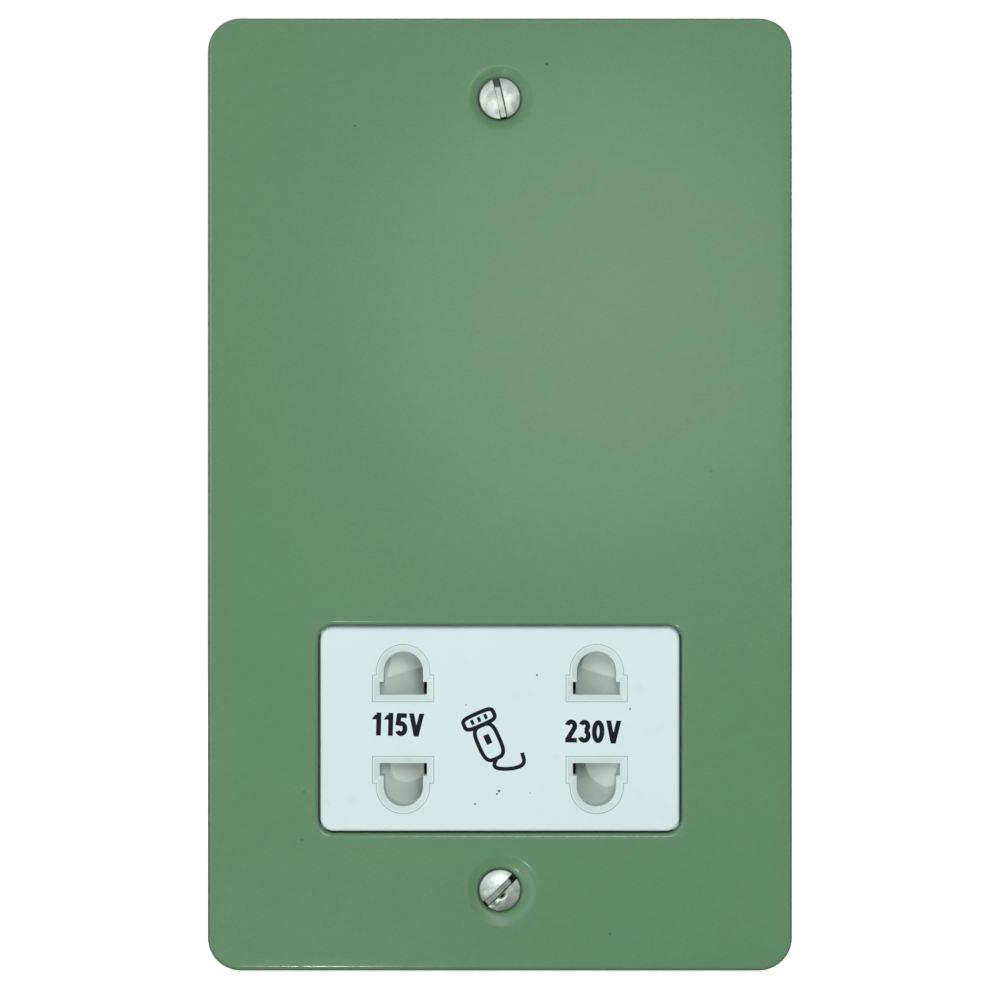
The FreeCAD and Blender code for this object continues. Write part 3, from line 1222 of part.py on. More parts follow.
front_plate()
fixing_screw("top_fixing_screw", 1, "top_slot_angle")
fixing_screw("bottom_fixing_screw", -1, "bottom_slot_angle")
insert_cover()
aperture_block()
shutter_slide()
shutter_spring("left_shutter_spring", -1)
shutter_spring("right_shutter_spring", 1)
contact_base()
for contact_label, (contact_columns, contact_row) in CONTACTS.items():
    contact(contact_label, contact_columns, contact_row)
contact_retainer()
tapping_screws("base_screws", BASE_SCREWS, BASE_BACK, "base_screw_length")
tapping_screws("retainer_screws", RETAINER_SCREWS, RETAINER_BACK, "base_screw_length")
front_housing()
rear_cover()
tapping_screws("cover_screws", SHELF_SCREWS + COVER_SCREWS, SHELF_BACK, "cover_screw_length")
for terminal_name, terminal_x in TERMINALS.items():
    terminal(terminal_name, terminal_x)
terminal_screws()
earth_strap()
stud_fasteners()
transformer_places = transformer()
leads(transformer_places, thermal_cutout(transformer_places))

doc.recompute()
failed = [made.Label for made in doc.Objects if {"Invalid", "Error"} & set(made.State)]
failed += [made.Label for made in nodes if made.Shape.isNull() or not made.Shape.isValid()]
if failed:
    raise RuntimeError(f"failed: {failed}")
os.makedirs("parts", exist_ok=True)
for made in nodes:
    made.Shape.exportStep(f"parts/{made.Label}.step")
    print(f"{made.Label:22s} solids {len(made.Shape.Solids)}  volume {made.Shape.Volume:10.2f} mm3")
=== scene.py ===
"""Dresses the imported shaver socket: finishes, printed marks, screws, lamps and camera.

Every length below is in millimetres unless its name says otherwise. The frame is in metres.
"""
import json
import math

import bmesh
import bpy
import numpy as np
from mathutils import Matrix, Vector
from mathutils.geometry import tessellate_polygon


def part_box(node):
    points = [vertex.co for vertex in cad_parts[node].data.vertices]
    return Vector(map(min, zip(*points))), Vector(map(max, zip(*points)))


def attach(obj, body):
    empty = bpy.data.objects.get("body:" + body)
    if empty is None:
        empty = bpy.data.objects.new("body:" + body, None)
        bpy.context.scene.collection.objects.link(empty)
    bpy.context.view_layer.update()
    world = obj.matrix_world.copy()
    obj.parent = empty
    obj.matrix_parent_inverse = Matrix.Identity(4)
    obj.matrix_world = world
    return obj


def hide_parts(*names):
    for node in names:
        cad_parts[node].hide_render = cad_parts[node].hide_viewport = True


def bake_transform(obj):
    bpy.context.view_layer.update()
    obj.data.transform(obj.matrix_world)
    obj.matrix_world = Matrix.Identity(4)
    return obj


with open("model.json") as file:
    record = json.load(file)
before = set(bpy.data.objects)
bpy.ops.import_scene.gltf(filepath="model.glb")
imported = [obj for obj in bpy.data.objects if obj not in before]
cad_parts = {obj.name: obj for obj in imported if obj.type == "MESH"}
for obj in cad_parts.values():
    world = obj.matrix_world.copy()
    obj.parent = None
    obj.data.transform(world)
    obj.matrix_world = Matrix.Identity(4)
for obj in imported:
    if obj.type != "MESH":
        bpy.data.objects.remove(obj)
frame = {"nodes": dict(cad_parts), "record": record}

MM = 0.001
TURN = 2 * math.pi
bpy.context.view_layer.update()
nodes = frame["nodes"]

# The photograph's width, its scale at the plate's face, and the pixel that shows its middle
PHOTO_WIDTH = 1000
PIXEL = 0.1519
MIDDLE_PIXEL = (499.9, 494.05)


def on_plate(across, down):
    """Where a pixel of the photograph lies on the plate's face, as (x, z)."""
    return (across - MIDDLE_PIXEL[0]) * PIXEL, (MIDDLE_PIXEL[1] - down) * PIXEL


def turned(across, up, degrees):
    """Places turned anticlockwise about zero, as seen from the room."""
    cos, sin = math.cos(math.radians(degrees)), math.sin(math.radians(degrees))
    return across * cos - up * sin, across * sin + up * cos


def edges(node):
    """A node's lowest and highest corner."""
    low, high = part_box(node)
    return np.array(low) / MM, np.array(high) / MM


def middle_of(node):
    """The middle of a node's box, as (x, z)."""
    low, high = edges(node)
    return (low[0] + high[0]) / 2, (low[2] + high[2]) / 2


PLATE_LOW, PLATE_HIGH = edges("front_plate")
INSERT_LOW, INSERT_HIGH = edges("insert_cover")
PLATE_FACE = PLATE_LOW[1]
INSERT_FACE = INSERT_LOW[1]
# The insert's flange reaches this far past its slab, behind the plate
INSERT_FLANGE = 1.3
INSERT_MIDDLE = (INSERT_LOW[2] + INSERT_HIGH[2]) / 2
INSERT_HALF_X = INSERT_HIGH[0] - INSERT_FLANGE
INSERT_HALF_Z = INSERT_HIGH[2] - INSERT_MIDDLE - INSERT_FLANGE
# Half sizes of the plate and of the insert's face, as (x, z)
PLATE_HALF = (PLATE_HIGH[0], PLATE_HIGH[2])
INSERT_HALF = (INSERT_HALF_X, INSERT_HALF_Z)


def placed_object(name, data):
    """A new object of some data, in the scene."""
    made = bpy.data.objects.new(name, data)
    bpy.context.scene.collection.objects.link(made)
    return made


# Camera: it looks straight at the plate, with the photograph's frame at the plate's face
FRAME_WIDTH = PHOTO_WIDTH * PIXEL
CAMERA_DISTANCE = 240.0
CAMERA_SHIFT = 0.115
LENS_SENSOR = 36.0
# The nearest and furthest that it sees, in metres
CAMERA_CLIP = (0.01, 50.0)


def make_camera():
    """A level camera, set low and shifted up by the same share of its frame."""
    centre_x, centre_z = on_plate(PHOTO_WIDTH / 2, PHOTO_WIDTH / 2)
    data = bpy.data.cameras.new("view_camera")
    data.sensor_width = LENS_SENSOR
    data.lens = LENS_SENSOR * CAMERA_DISTANCE / FRAME_WIDTH
    data.shift_y = CAMERA_SHIFT
    data.clip_start, data.clip_end = CAMERA_CLIP
    camera = placed_object("view_camera", data)
    low = centre_z - CAMERA_SHIFT * FRAME_WIDTH
    camera.location = Vector((centre_x, PLATE_FACE - CAMERA_DISTANCE, low)) * MM
    camera.rotation_euler = (math.radians(90), 0, 0)
    bpy.context.scene.camera = camera


# Lamps: where each stands, its width, its power in watts, and the point that it is aimed at
LAMPS = {
    "key_lamp": ((42.0, -430.0, 108.0), 180.0, 0.67, (0.0, 0.0, 10.0)),
    "fill_lamp": ((-620.0, -520.0, 120.0), 500.0, 1.0, (0.0, 0.0, 0.0)),
    "low_lamp": ((-66.0, -320.0, -200.0), 14.0, 0.29, (0.0, 0.0, -40.0)),
    "back_lamp": ((300.0, 900.0, 500.0), 500.0, 3.5, (0.0, 20.0, 0.0)),
}


def make_lamp(name, place, size, power, towards):
    """A round area lamp."""
    data = bpy.data.lights.new(name, "AREA")
    data.shape = "DISK"
    data.size = size * MM
    data.energy = power
    lamp = placed_object(name, data)
    lamp.location = Vector(place) * MM
    lamp.rotation_euler = (Vector(towards) - Vector(place)).to_track_quat("-Z", "Y").to_euler()


class Shade:
    """A socket of a material's nodes. Arithmetic on it adds Math nodes."""

    def __init__(self, tree, socket=None):
        self.tree, self.socket = tree, socket

    def add(self, kind, inputs=None, out=0, **settings):
        """Any other node: its type, its sockets' values or links, its output, its settings."""
        made = self.tree.nodes.new(kind)
        for word, setting in settings.items():
            setattr(made, word, setting)
        for place, given in (inputs or {}).items():
            if isinstance(given, Shade):
                self.tree.links.new(given.socket, made.inputs[place])
            else:
                made.inputs[place].default_value = given
        return Shade(self.tree, made.outputs[out])

    def math(self, operation, *terms):
        return self.add("ShaderNodeMath", dict(enumerate(terms)), operation=operation)

    def __add__(self, other):
        return self.math("ADD", self, other)

    def __radd__(self, other):
        return self.math("ADD", other, self)

    def __sub__(self, other):
        return self.math("SUBTRACT", self, other)

    def __rsub__(self, other):
        return self.math("SUBTRACT", other, self)

    def __mul__(self, other):
        return self.math("MULTIPLY", self, other)

    def __rmul__(self, other):
        return self.math("MULTIPLY", other, self)

    def __abs__(self):
        return self.math("ABSOLUTE", self)

    def greater(self, other):
        return self.math("MAXIMUM", self, other)

    def wave(self):
        return self.math("SINE", self)

    def rising(self, low, high):
        """0 below the low value and 1 above the high one, with a smooth step between."""
        inputs = {0: self, 1: low, 2: high}
        return self.add("ShaderNodeMapRange", inputs, interpolation_type="SMOOTHSTEP")

    def falling(self, low, high):
        return 1.0 - self.rising(low, high)

    def part(self, axis):
        return self.add("ShaderNodeSeparateXYZ", {0: self}, axis)

    def noise(self, size, detail, roughness=0.5):
        """Smooth noise from 0 to 1 whose lumps are about as wide as the size."""
        inputs = {"Vector": self, "Scale": 1.0 / size, "Detail": detail, "Roughness": roughness}
        return self.add("ShaderNodeTexNoise", inputs)

    def cells(self, size):
        """Distance to the nearest of the points scattered about a size apart."""
        return self.add("ShaderNodeTexVoronoi", {"Vector": self, "Scale": 1.0 / size})

    def stretched(self, x, y, z):
        """The place with each axis multiplied, so that noise runs long along a small one."""
        return self.add("ShaderNodeVectorMath", {0: self, 1: (x, y, z)}, operation="MULTIPLY")

    def tint(self, low, high):
        """A colour that goes from the low one to the high one as this value rises.

        Each is a Shade, or a colour as the screen shows it, given as 0 to 255.
        """
        low, high = (end if isinstance(end, Shade) else linear(end) for end in (low, high))
        return self.add("ShaderNodeMix", {0: self, 6: low, 7: high}, 2, data_type="RGBA")

    def away_from(self, x, z):
        """This place's distance from a point, as seen along Y."""
        across, up = self.part("X") - x, self.part("Z") - z
        return self.math("SQRT", across * across + up * up)

    def bump(self, height):
        """A normal from this value as a relief of that height in millimetres."""
        return self.add("ShaderNodeBump", {"Height": self, "Distance": height * MM})


def linear(screen_colour):
    """A colour as the screen shows it, given as 0 to 255, in the linear values of a shader."""
    shares = [part / 255 for part in screen_colour]
    parts = [share / 12.92 if share <= 0.04045 else ((share + 0.055) / 1.055) ** 2.4 for share in shares]
    return (*parts, 1.0)


def finish(name, metallic=0.0, specular=0.5, coat=0.0, coat_roughness=0.03):
    """A material, the place on it in millimetres, and a way to wire its shader's sockets."""
    made = bpy.data.materials.new(name)
    made.use_nodes = True
    tree = made.node_tree
    shader = tree.nodes["Principled BSDF"]
    shader.inputs["Metallic"].default_value = metallic
    shader.inputs["Specular IOR Level"].default_value = specular
    shader.inputs["Coat Weight"].default_value = coat
    shader.inputs["Coat Roughness"].default_value = coat_roughness
    where = Shade(tree).add("ShaderNodeTexCoord", out="Object")
    place = where.add("ShaderNodeVectorMath", {0: where, 3: 1 / MM}, operation="SCALE")

    def wire(**sockets):
        for word, given in sockets.items():
            tree.links.new(given.socket, shader.inputs[word.replace("_", " ").title()])

    return made, place, wire


# Specks of dirt in the paint and on the white insert: pixel across, pixel down, radius, strength
PLATE_SPECKS = [
    (355, 126, 0.12, 0.55), (547, 64, 0.16, 0.75), (302, 840, 0.15, 0.45), (304, 792, 0.13, 0.4),
    (610, 934, 0.16, 0.5), (711, 471, 0.17, 0.35),
]
INSERT_SPECKS = [
    (537, 675, 0.12, 0.8), (630, 709, 0.12, 0.75), (466, 705, 0.11, 0.6), (475, 804, 0.13, 0.75),
    (530, 793, 0.10, 0.5), (499, 791, 0.16, 0.85), (497, 794, 0.12, 0.8), (326, 803, 0.4, 0.05),
    (352, 800, 0.5, 0.04), (640, 688, 0.4, 0.04), (556, 757, 0.4, 0.03),
]
# How far a speck fades out past its radius, as a share of it
SPECK_FADE = 0.7


def specks(place, spots):
    """The strength of the specks at a place, from 0 to 1."""
    total = 0.0
    for across, down, radius, strength in spots:
        x, z = on_plate(across, down)
        spot = place.away_from(x, z).falling(radius, radius * (1.0 + SPECK_FADE))
        total = spot * strength + total
    return total


def beyond(x, z, half, band):
    """0 within a rectangle of those half sizes, rising to 1 over a band of distances past it."""
    near, far = band
    return abs(x).rising(half[0] + near, half[0] + far).greater(
        abs(z).rising(half[1] + near, half[1] + far)
    )


def within(x, z, half, band):
    """1 within a rectangle of those half sizes, falling to 0 over a band of distances past it."""
    near, far = band
    return abs(x).falling(half[0] + near, half[0] + far) * abs(z).falling(half[1] + near, half[1] + far)


# Painted shade round each fixing screw: the radius up to which it is full, and the radius where it ends
SCREW_SHADE_RINGS = {"top_fixing_screw": (3.2, 4.1), "bottom_fixing_screw": (3.2, 3.9)}
# How it thins from a screw's lower left to its upper right, and its least share there
SCREW_SHADE_SIDES = (-4.0, 5.0)
SCREW_SHADE_LEAST = 0.45


def screw_shade_ring(place, name):
    """Painted shade round a fixing screw, thickest at its lower left and broken by noise."""
    x, z = middle_of(name)
    across, up = place.part("X") - x, place.part("Z") - z
    side = SCREW_SHADE_LEAST + (1.0 - SCREW_SHADE_LEAST) * (up + across).falling(*SCREW_SHADE_SIDES)
    return place.away_from(x, z).falling(*SCREW_SHADE_RINGS[name]) * side * (0.7 + 0.6 * place.noise(0.5, 3.0))


# Lower dish: its lip's middle and radius, the distances from the lip over which the painted sheen on it
# fades, and the radii over which the painted shade on its slope fades
LIP_X, LIP_Z, LIP_RADIUS = 0.47, -60.4, 4.45
LIP_SPREAD = (0.15, 0.75)
SLOPE_SPREAD = (3.2, 4.5)
# How the painted sheen grows and the painted shade thins, from the dish's upper left to its lower right
SHEEN_SIDES = (-6.0, 4.0)
SLOPE_SHADE_SIDES = (-4.0, 5.0)


def lower_dish(place):
    """How much painted sheen lies on the lower dish's lip, and how much painted shade on its slope."""
    away = place.away_from(LIP_X, LIP_Z)
    lower_right = (place.part("X") - LIP_X) - (place.part("Z") - LIP_Z)
    painted_sheen = abs(away - LIP_RADIUS).falling(*LIP_SPREAD) * lower_right.rising(*SHEEN_SIDES)
    darkening = away.falling(*SLOPE_SPREAD) * lower_right.falling(*SLOPE_SHADE_SIDES)
    return painted_sheen, darkening


# Bands of the plate's paint, as distances past the plate's edge: worn thin, darkened along the edge as
# painted shade, polished on the roll, and the end of the bare pan behind
WORN_EDGE = (-0.7, 0.0)
SHADED_EDGE = (-2.3, -2.2)
ROLLED_EDGE = (-0.9, -0.78)
PAN_EDGE = (-1.15, -1.05)
# The same past the insert's edge: the window's polished lip, and its cut wall
WINDOW_LIP = (1.0, 1.1)
WINDOW_CUT = (0.35, 0.4)
# Depths below the plate's face: where the band of painted shade begins and where it thins on the side
# wall, the window's cut wall, and the pan
SHADED_DEPTH = (0.07, 0.3)
SIDE_DEPTH = (0.75, 1.2)
CUT_DEPTH = (0.55, 0.9)
PAN_DEPTH = (1.1, 1.15)
# The painted shade in the gap round the insert is lighter along its top, where light falls in, over this
# height
LIT_TOP = 0.6


def plate_paint():
    """Sage green satin paint with a faint orange peel; bare zinc on the pan behind."""
    made, place, wire = finish("sage_satin_paint", specular=0.12, coat_roughness=0.15)
    x, y, z = (place.part(axis) for axis in "XYZ")
    depth, up = y - PLATE_FACE, z - INSERT_MIDDLE
    cloud = place.noise(26.0, 3.0)
    grain = place.noise(0.35, 3.0, 0.65)
    dirt = specks(place, PLATE_SPECKS)
    rings = screw_shade_ring(place, "top_fixing_screw").greater(screw_shade_ring(place, "bottom_fixing_screw"))
    painted_sheen, darkening = lower_dish(place)
    worn = beyond(x, z, PLATE_HALF, WORN_EDGE) * place.noise(2.5, 4.0, 0.7).rising(0.52, 0.66)
    edge_shade = beyond(x, z, PLATE_HALF, SHADED_EDGE) * depth.rising(*SHADED_DEPTH)
    edge_shade = edge_shade * (1.0 - 0.75 * depth.rising(*SIDE_DEPTH))
    cut = depth.rising(*CUT_DEPTH) * within(x, up, INSERT_HALF, WINDOW_CUT)
    lit_top = up.rising(INSERT_HALF_Z - LIT_TOP, INSERT_HALF_Z)
    green = cloud.tint((97, 137, 101), (102, 142, 106))
    # What lies over the green, one on another, painted shade and sheen among them: its share and its
    # colour
    for share, shown in (
        (grain.rising(0.35, 0.7) * 0.22, (84, 121, 88)),
        # Painted shade round the screw heads
        (rings * 0.45, (36, 46, 38)),
        (dirt, (58, 66, 52)),
        (worn * 0.35, (140, 168, 141)),
        # Painted sheen on the lower dish's lip
        (painted_sheen * 0.5, (122, 152, 132)),
        # Painted shade on the lower dish's slope
        (darkening * 0.28, (56, 92, 62)),
        # Painted shade along the plate's rolled edge and side wall
        (edge_shade * 0.8, (44, 74, 52)),
        # Painted shade down the window's cut wall, lighter along the top where light falls in
        (cut * (0.85 - 0.6 * lit_top), (24, 34, 32)),
    ):
        green = share.tint(green, shown)
    polished = beyond(x, z, PLATE_HALF, ROLLED_EDGE).greater(within(x, up, INSERT_HALF, WINDOW_LIP))
    polished = polished * place.noise(1.0, 3.0).rising(0.25, 0.6)
    inside = depth.rising(*PAN_DEPTH) * within(x, z, PLATE_HALF, PAN_EDGE) * (1.0 - cut)
    spangle = place.cells(3.0).tint((150, 154, 156), (186, 189, 190))
    overspray = place.noise(9.0, 4.0, 0.6).rising(0.45, 0.75) * 0.45
    zinc = overspray.tint(spangle, (120, 146, 122))
    wire(
        base_color=inside.tint(green, zinc),
        metallic=inside * (0.75 - overspray),
        roughness=0.32 + 0.08 * grain + dirt * 0.2 + inside * 0.14,
        coat_weight=0.07 + 0.5 * polished * (1.0 - inside),
        normal=(place.noise(1.3, 2.0, 0.45) + 0.25 * grain).bump(0.010),
    )
    return made


def nickel_screw():
    """Bright nickel on steel: scratches both ways, dull patches, and the grime and painted shade of the
    mesh.
    """
    made, place, wire = finish("nickel_plate", metallic=1.0)
    grime_and_shade = place.add("ShaderNodeAttribute", out="Fac", attribute_name="grime_and_shade")
    scratch = place.stretched(1.0, 1.0, 7.0).noise(0.22, 4.0, 0.7)
    cross = place.stretched(6.0, 1.0, 1.0).noise(0.3, 4.0, 0.7)
    dull = place.noise(1.6, 3.0, 0.6)
    wear = scratch * 0.5 + cross * 0.5
    bright = dull.rising(0.35, 0.7).tint((158, 170, 160), (196, 206, 198))
    bright = (wear.rising(0.56, 0.7) * 0.4).tint(bright, (112, 118, 111))
    darkening = grime_and_shade * (0.85 + 0.3 * dull)
    wire(
        # Grime and painted shade carried by the mesh
        base_color=darkening.tint(bright, (24, 26, 24)),
        roughness=0.28 + 0.20 * dull + 0.14 * wear + 0.25 * grime_and_shade,
        normal=wear.bump(0.006),
    )
    return made


# Painted shade of the insert: its ledge and its sides, as distances past its edge, and the depth of the
# gap
LEDGE = (-0.8, -0.1)
INSERT_SIDE = (-0.02, 0.0)
GAP_DEPTH = (0.25, 0.7)


def insert_edge_shade(place):
    """Painted shade on the white insert: along its top edge, and down in the gap round it, lighter along
    the top.
    """
    x, y, z = (place.part(axis) for axis in "XYZ")
    up = z - INSERT_MIDDLE
    broken = 0.6 + 0.8 * place.noise(6.0, 4.0, 0.6)
    ledge = up.rising(INSERT_HALF_Z + LEDGE[0], INSERT_HALF_Z + LEDGE[1]) * 0.16 * broken
    lit_top = up.rising(INSERT_HALF_Z - LIT_TOP, INSERT_HALF_Z)
    gap = beyond(x, up, INSERT_HALF, INSERT_SIDE) * (y - INSERT_FACE).rising(*GAP_DEPTH)
    return ledge.greater(gap * (0.95 - 0.6 * lit_top))


def moulded(name, low, high, rough=0.42, relief=0.006, lumps=0.5, spots=(), darkening=None):
    """Moulded plastic between two near colours, with a fine tool texture, faint dust, and painted shade
    where a darkening is given.
    """
    made, place, wire = finish(name)
    body = place.noise(14.0, 3.0).tint(low, high)
    grain = place.noise(lumps, 3.0, 0.6)
    dust = place.noise(5.0, 5.0, 0.7).rising(0.55, 0.8) * 0.10
    dirt = specks(place, spots) if spots else dust * 0.2
    shade = dust.tint(body, (168, 172, 160))
    # Painted shade, where a darkening is given
    if darkening:
        shade = darkening(place).tint(shade, (52, 56, 50))
    wire(
        base_color=dirt.tint(shade, (42, 40, 34)),
        roughness=rough + 0.12 * grain + dust * 0.5,
        normal=grain.bump(relief),
    )
    return made


def metal(name, low, high, rough=0.32, patch=4.0, brushed=(1.0, 1.0, 1.0)):
    """Bare or plated metal between two tones, brushed along the axis with the small factor."""
    made, place, wire = finish(name, metallic=1.0)
    tone = place.noise(patch, 4.0, 0.6)
    brush = place.stretched(*brushed).noise(0.25, 3.0, 0.65)
    wire(
        base_color=tone.rising(0.3, 0.7).tint(low, high),
        roughness=rough + 0.16 * tone + 0.10 * brush,
        normal=brush.bump(0.006),
    )
    return made


def laminations(name):
    """Blue-grey varnished steel sheets, half a millimetre each, stacked along Y."""
    made, place, wire = finish(name, metallic=0.7)
    y = place.part("Y")
    sheet = abs((y * TURN).wave())
    tone = place.stretched(0.15, 4.0, 0.15).noise(1.0, 3.0)
    steel = tone.tint((86, 90, 96), (128, 131, 134))
    rust = place.noise(6.0, 5.0, 0.65).rising(0.6, 0.78) * 0.35
    wire(
        base_color=rust.tint(steel, (112, 84, 62)),
        roughness=0.42 + 0.2 * tone,
        normal=sheet.bump(0.05),
    )
    return made


# How far apart the turns of the tape lie
TAPE_TURN = 4.5


def tape(name):
    """Yellow polyester tape wound in overlapping turns round the coil."""
    made, place, wire = finish(name, coat=0.3)
    turns = (place.part("Z") * (TURN / TAPE_TURN)).wave().rising(0.82, 0.95)
    crease = place.stretched(0.4, 0.4, 3.0).noise(1.5, 3.0)
    film = crease.tint((196, 158, 62), (218, 184, 92))
    wire(
        base_color=(turns * 0.5).tint(film, (160, 124, 44)),
        roughness=0.28 + 0.12 * crease,
        normal=(turns + crease * 0.4).bump(0.06),
    )
    return made


# Bands of a two-coloured sleeve: radians for each millimetre along X, and the angle at its zero
BAND_RATE, BAND_START = 2.6, 1.2


def insulation(name, low, high, stripe=None):
    """Glossy cable sleeve, with a second colour in bands along its side where it has one."""
    made, place, wire = finish(name, coat=0.2)
    tone = place.noise(3.0, 3.0)
    sleeve = tone.tint(low, high)
    if stripe:
        band = (place.part("X") * BAND_RATE + BAND_START).wave().rising(-0.1, 0.1)
        sleeve = band.tint(sleeve, stripe)
    wire(base_color=sleeve, roughness=0.34 + 0.1 * tone, normal=tone.bump(0.02))
    return made


def ink():
    """Black pad-printed ink, slightly broken at the scale of the plastic's grain."""
    made, place, wire = finish("black_ink", specular=0.08)
    pores = place.noise(0.12, 3.0, 0.7)
    wear = pores.rising(0.62, 0.78) * 0.35
    wire(
        base_color=wear.tint((20, 24, 30), (62, 68, 70)),
        roughness=0.45 + 0.2 * pores,
        normal=pores.bump(0.004),
    )
    return made


FINISHES = {
    "plate_paint": plate_paint(),
    "nickel_screw": nickel_screw(),
    "white_insert": moulded(
        "white_insert_plastic", (209, 230, 229), (213, 234, 233),
        spots=INSERT_SPECKS, darkening=insert_edge_shade,
    ),
    "collar_plastic": moulded("collar_plastic", (207, 228, 224), (212, 232, 229)),
    "soiled_joint": moulded("soiled_joint", (128, 148, 147), (176, 196, 194), lumps=2.5),
    "shutter_plastic": moulded("shutter_plastic", (222, 236, 227), (230, 242, 234)),
    "body_plastic": moulded(
        "body_plastic", (206, 207, 200), (216, 216, 210), rough=0.5, relief=0.02
    ),
    "spring_steel": metal("spring_steel", (150, 152, 155), (196, 198, 200), rough=0.2),
    "zinc_steel": metal("zinc_steel", (158, 162, 164), (198, 201, 202), patch=2.0),
    # Darker than the terminal brass: painted shade for contacts that sit deep in the apertures
    "contact_brass": metal("contact_brass", (88, 74, 48), (128, 108, 70)),
    "terminal_brass": metal(
        "terminal_brass", (178, 150, 90), (208, 182, 120), brushed=(5.0, 5.0, 0.4)
    ),
    "core_steel": laminations("core_laminations"),
    "bobbin_plastic": moulded("bobbin_plastic", (58, 58, 58), (66, 66, 66)),
    "winding_tape": tape("winding_tape"),
    "cutout_case": moulded("cutout_case", (220, 218, 212), (228, 226, 221), rough=0.35),
    "brown_lead": insulation("brown_lead", (92, 58, 38), (104, 68, 44)),
    "blue_lead": insulation("blue_lead", (38, 78, 138), (48, 90, 152)),
    "white_lead": insulation("white_lead", (214, 214, 208), (226, 226, 220)),
    "green_yellow_lead": insulation(
        "green_yellow_lead", (48, 122, 62), (58, 134, 72), (214, 196, 62)
    ),
    "copper_strap": metal(
        "tinned_copper_strap", (176, 150, 132), (206, 196, 186), brushed=(0.4, 5.0, 5.0)
    ),
}
INK = ink()


def dress_nodes():
    """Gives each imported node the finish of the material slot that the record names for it."""
    for entry in frame["record"]["subparts"]:
        for slot in nodes[entry["node"]].material_slots:
            slot.material = FINISHES[entry["material_slot"]]


def close_up(data):
    """Merge the points that bands share, and turn every face outwards."""
    shell = bmesh.new()
    shell.from_mesh(data)
    bmesh.ops.remove_doubles(shell, verts=shell.verts, dist=0.001 * MM)
    bmesh.ops.recalc_face_normals(shell, faces=shell.faces)
    shell.to_mesh(data)
    shell.free()


def mesh_piece(name, points, faces, material, body="socket", smooth=True, grime_and_shade=None):
    """A closed object at the origin from points in millimetres, with grime and painted shade as a share
    of each.
    """
    data = bpy.data.meshes.new(name)
    data.from_pydata((np.asarray(points) * MM).tolist(), [], faces)
    data.update()
    data.materials.append(material)
    data.polygons.foreach_set("use_smooth", np.full(len(data.polygons), smooth))
    if grime_and_shade is not None:
        data.attributes.new("grime_and_shade", "FLOAT", "POINT").data.foreach_set("value", grime_and_shade)
    close_up(data)
    piece = placed_object(name, data)
    if body:
        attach(piece, body)
    return piece


def grid_faces(rows, columns, around=False):
    """Quads of a grid of points, row by row; around joins the last column to the first."""
    row, column = np.meshgrid(
        np.arange(rows - 1), np.arange(columns if around else columns - 1), indexing="ij"
    )
    here, beside = row * columns + column, row * columns + (column + 1) % columns
    quads = np.stack([here, here + columns, beside + columns, beside], axis=-1)
    return quads.reshape(-1, 4).tolist()


def tube(band):
    """A grid of points whose columns run round, as (points, faces)."""
    return band.reshape(-1, 3), grid_faces(*band.shape[:2], around=True)


def joined(parts):
    """Several (points, faces) surfaces as one, with each one's faces counted on."""
    points, faces, count = [], [], 0
    for some_points, some_faces in parts:
        points.append(some_points)
        faces += [[index + count for index in face] for face in some_faces]
        count += len(some_points)
    return np.concatenate(points), faces


# Pressed plate: its gauge, its corner, and how far in from its edge the flat faces begin
PLATE_GAUGE = 1.2
PLATE_CORNER = 5.0
PAN_FLOOR = PLATE_FACE + PLATE_GAUGE
RIM_WIDTH = 2.2
# Radii of its rim: on the face, outside and inside its foot, and inside the pan
EDGE_ROUND = 0.8
FOOT_OUTER = 0.3
FOOT_INNER = 0.15
PAN_ROUND = 0.5
# Window: its gap round the insert, its corner, its front edge's width and radius, and its back
# edge's chamfer and width
WINDOW_GAP = 0.3
WINDOW_CORNER = 2.3
WINDOW_EDGE = 1.0
WINDOW_ROUND = 0.7
WINDOW_CHAMFER = 0.1
WINDOW_BACK = 0.6
# Dished screw seats: radii of lip, floor and hole, the dish's depth, and how deep its back is
DISH_LIP = 5.8
DISH_FLOOR = 3.55
SCREW_HOLE = 2.0
DISH_DEPTH = 0.55
DISH_BACK = 2.6
# The lip's margin, the soft edges of cone and hole, and at the back the widths of the collar, of
# the ring past the dish and of the ring's outer fall
DISH_MARGIN = 0.7
CONE_SOFT = 0.04
HOLE_SOFT = 0.06
DISH_COLLAR = 0.9
DISH_RING = PLATE_GAUGE + 0.2
RING_FALL = 0.3
# Each dish's lean to the right of its hole, and how late it falls towards the screw
DISHES = {"top_fixing_screw": (0.0, 4.0), "bottom_fixing_screw": (0.7, 1.0)}
# Welded studs: radius, length, thread, how far the weld's foot and neck stand out, and how much
# the tip narrows
STUD_RADIUS = 1.25
STUD_LENGTH = 5.2
STUD_PITCH = 0.5
STUD_THREAD = 0.2
STUD_WELD = (0.35, 0.1)
STUD_CHAMFER = 0.3
STUD_PLACES = [(x, z) for x in (-24.0, 24.0) for z in (-58.2, 58.2)]


def rounded_loop(half_x, half_z, radius, centre_z=0.0):
    """Points of a rounded rectangle and the normals there, once round.

    Each corner is an arc, centre + radius * (cos a, sin a), with its normal (cos a, sin a).
    """
    corner = 12
    angle = np.concatenate([np.linspace(0, math.pi / 2, corner) + k * math.pi / 2 for k in range(4)])
    normal = np.stack([np.cos(angle), np.sin(angle)], axis=-1)
    sides = np.repeat([[1, 1], [-1, 1], [-1, -1], [1, -1]], corner, axis=0)
    centres = sides * (half_x - radius, half_z - radius) + (0.0, centre_z)
    return centres + radius * normal, normal


def spokes(x, z, count=64):
    """A point given once for each direction round it, and those directions."""
    angle = np.linspace(0, TURN, count, endpoint=False)
    return np.tile((x, z), (count, 1)), np.stack([np.cos(angle), np.sin(angle)], axis=-1)


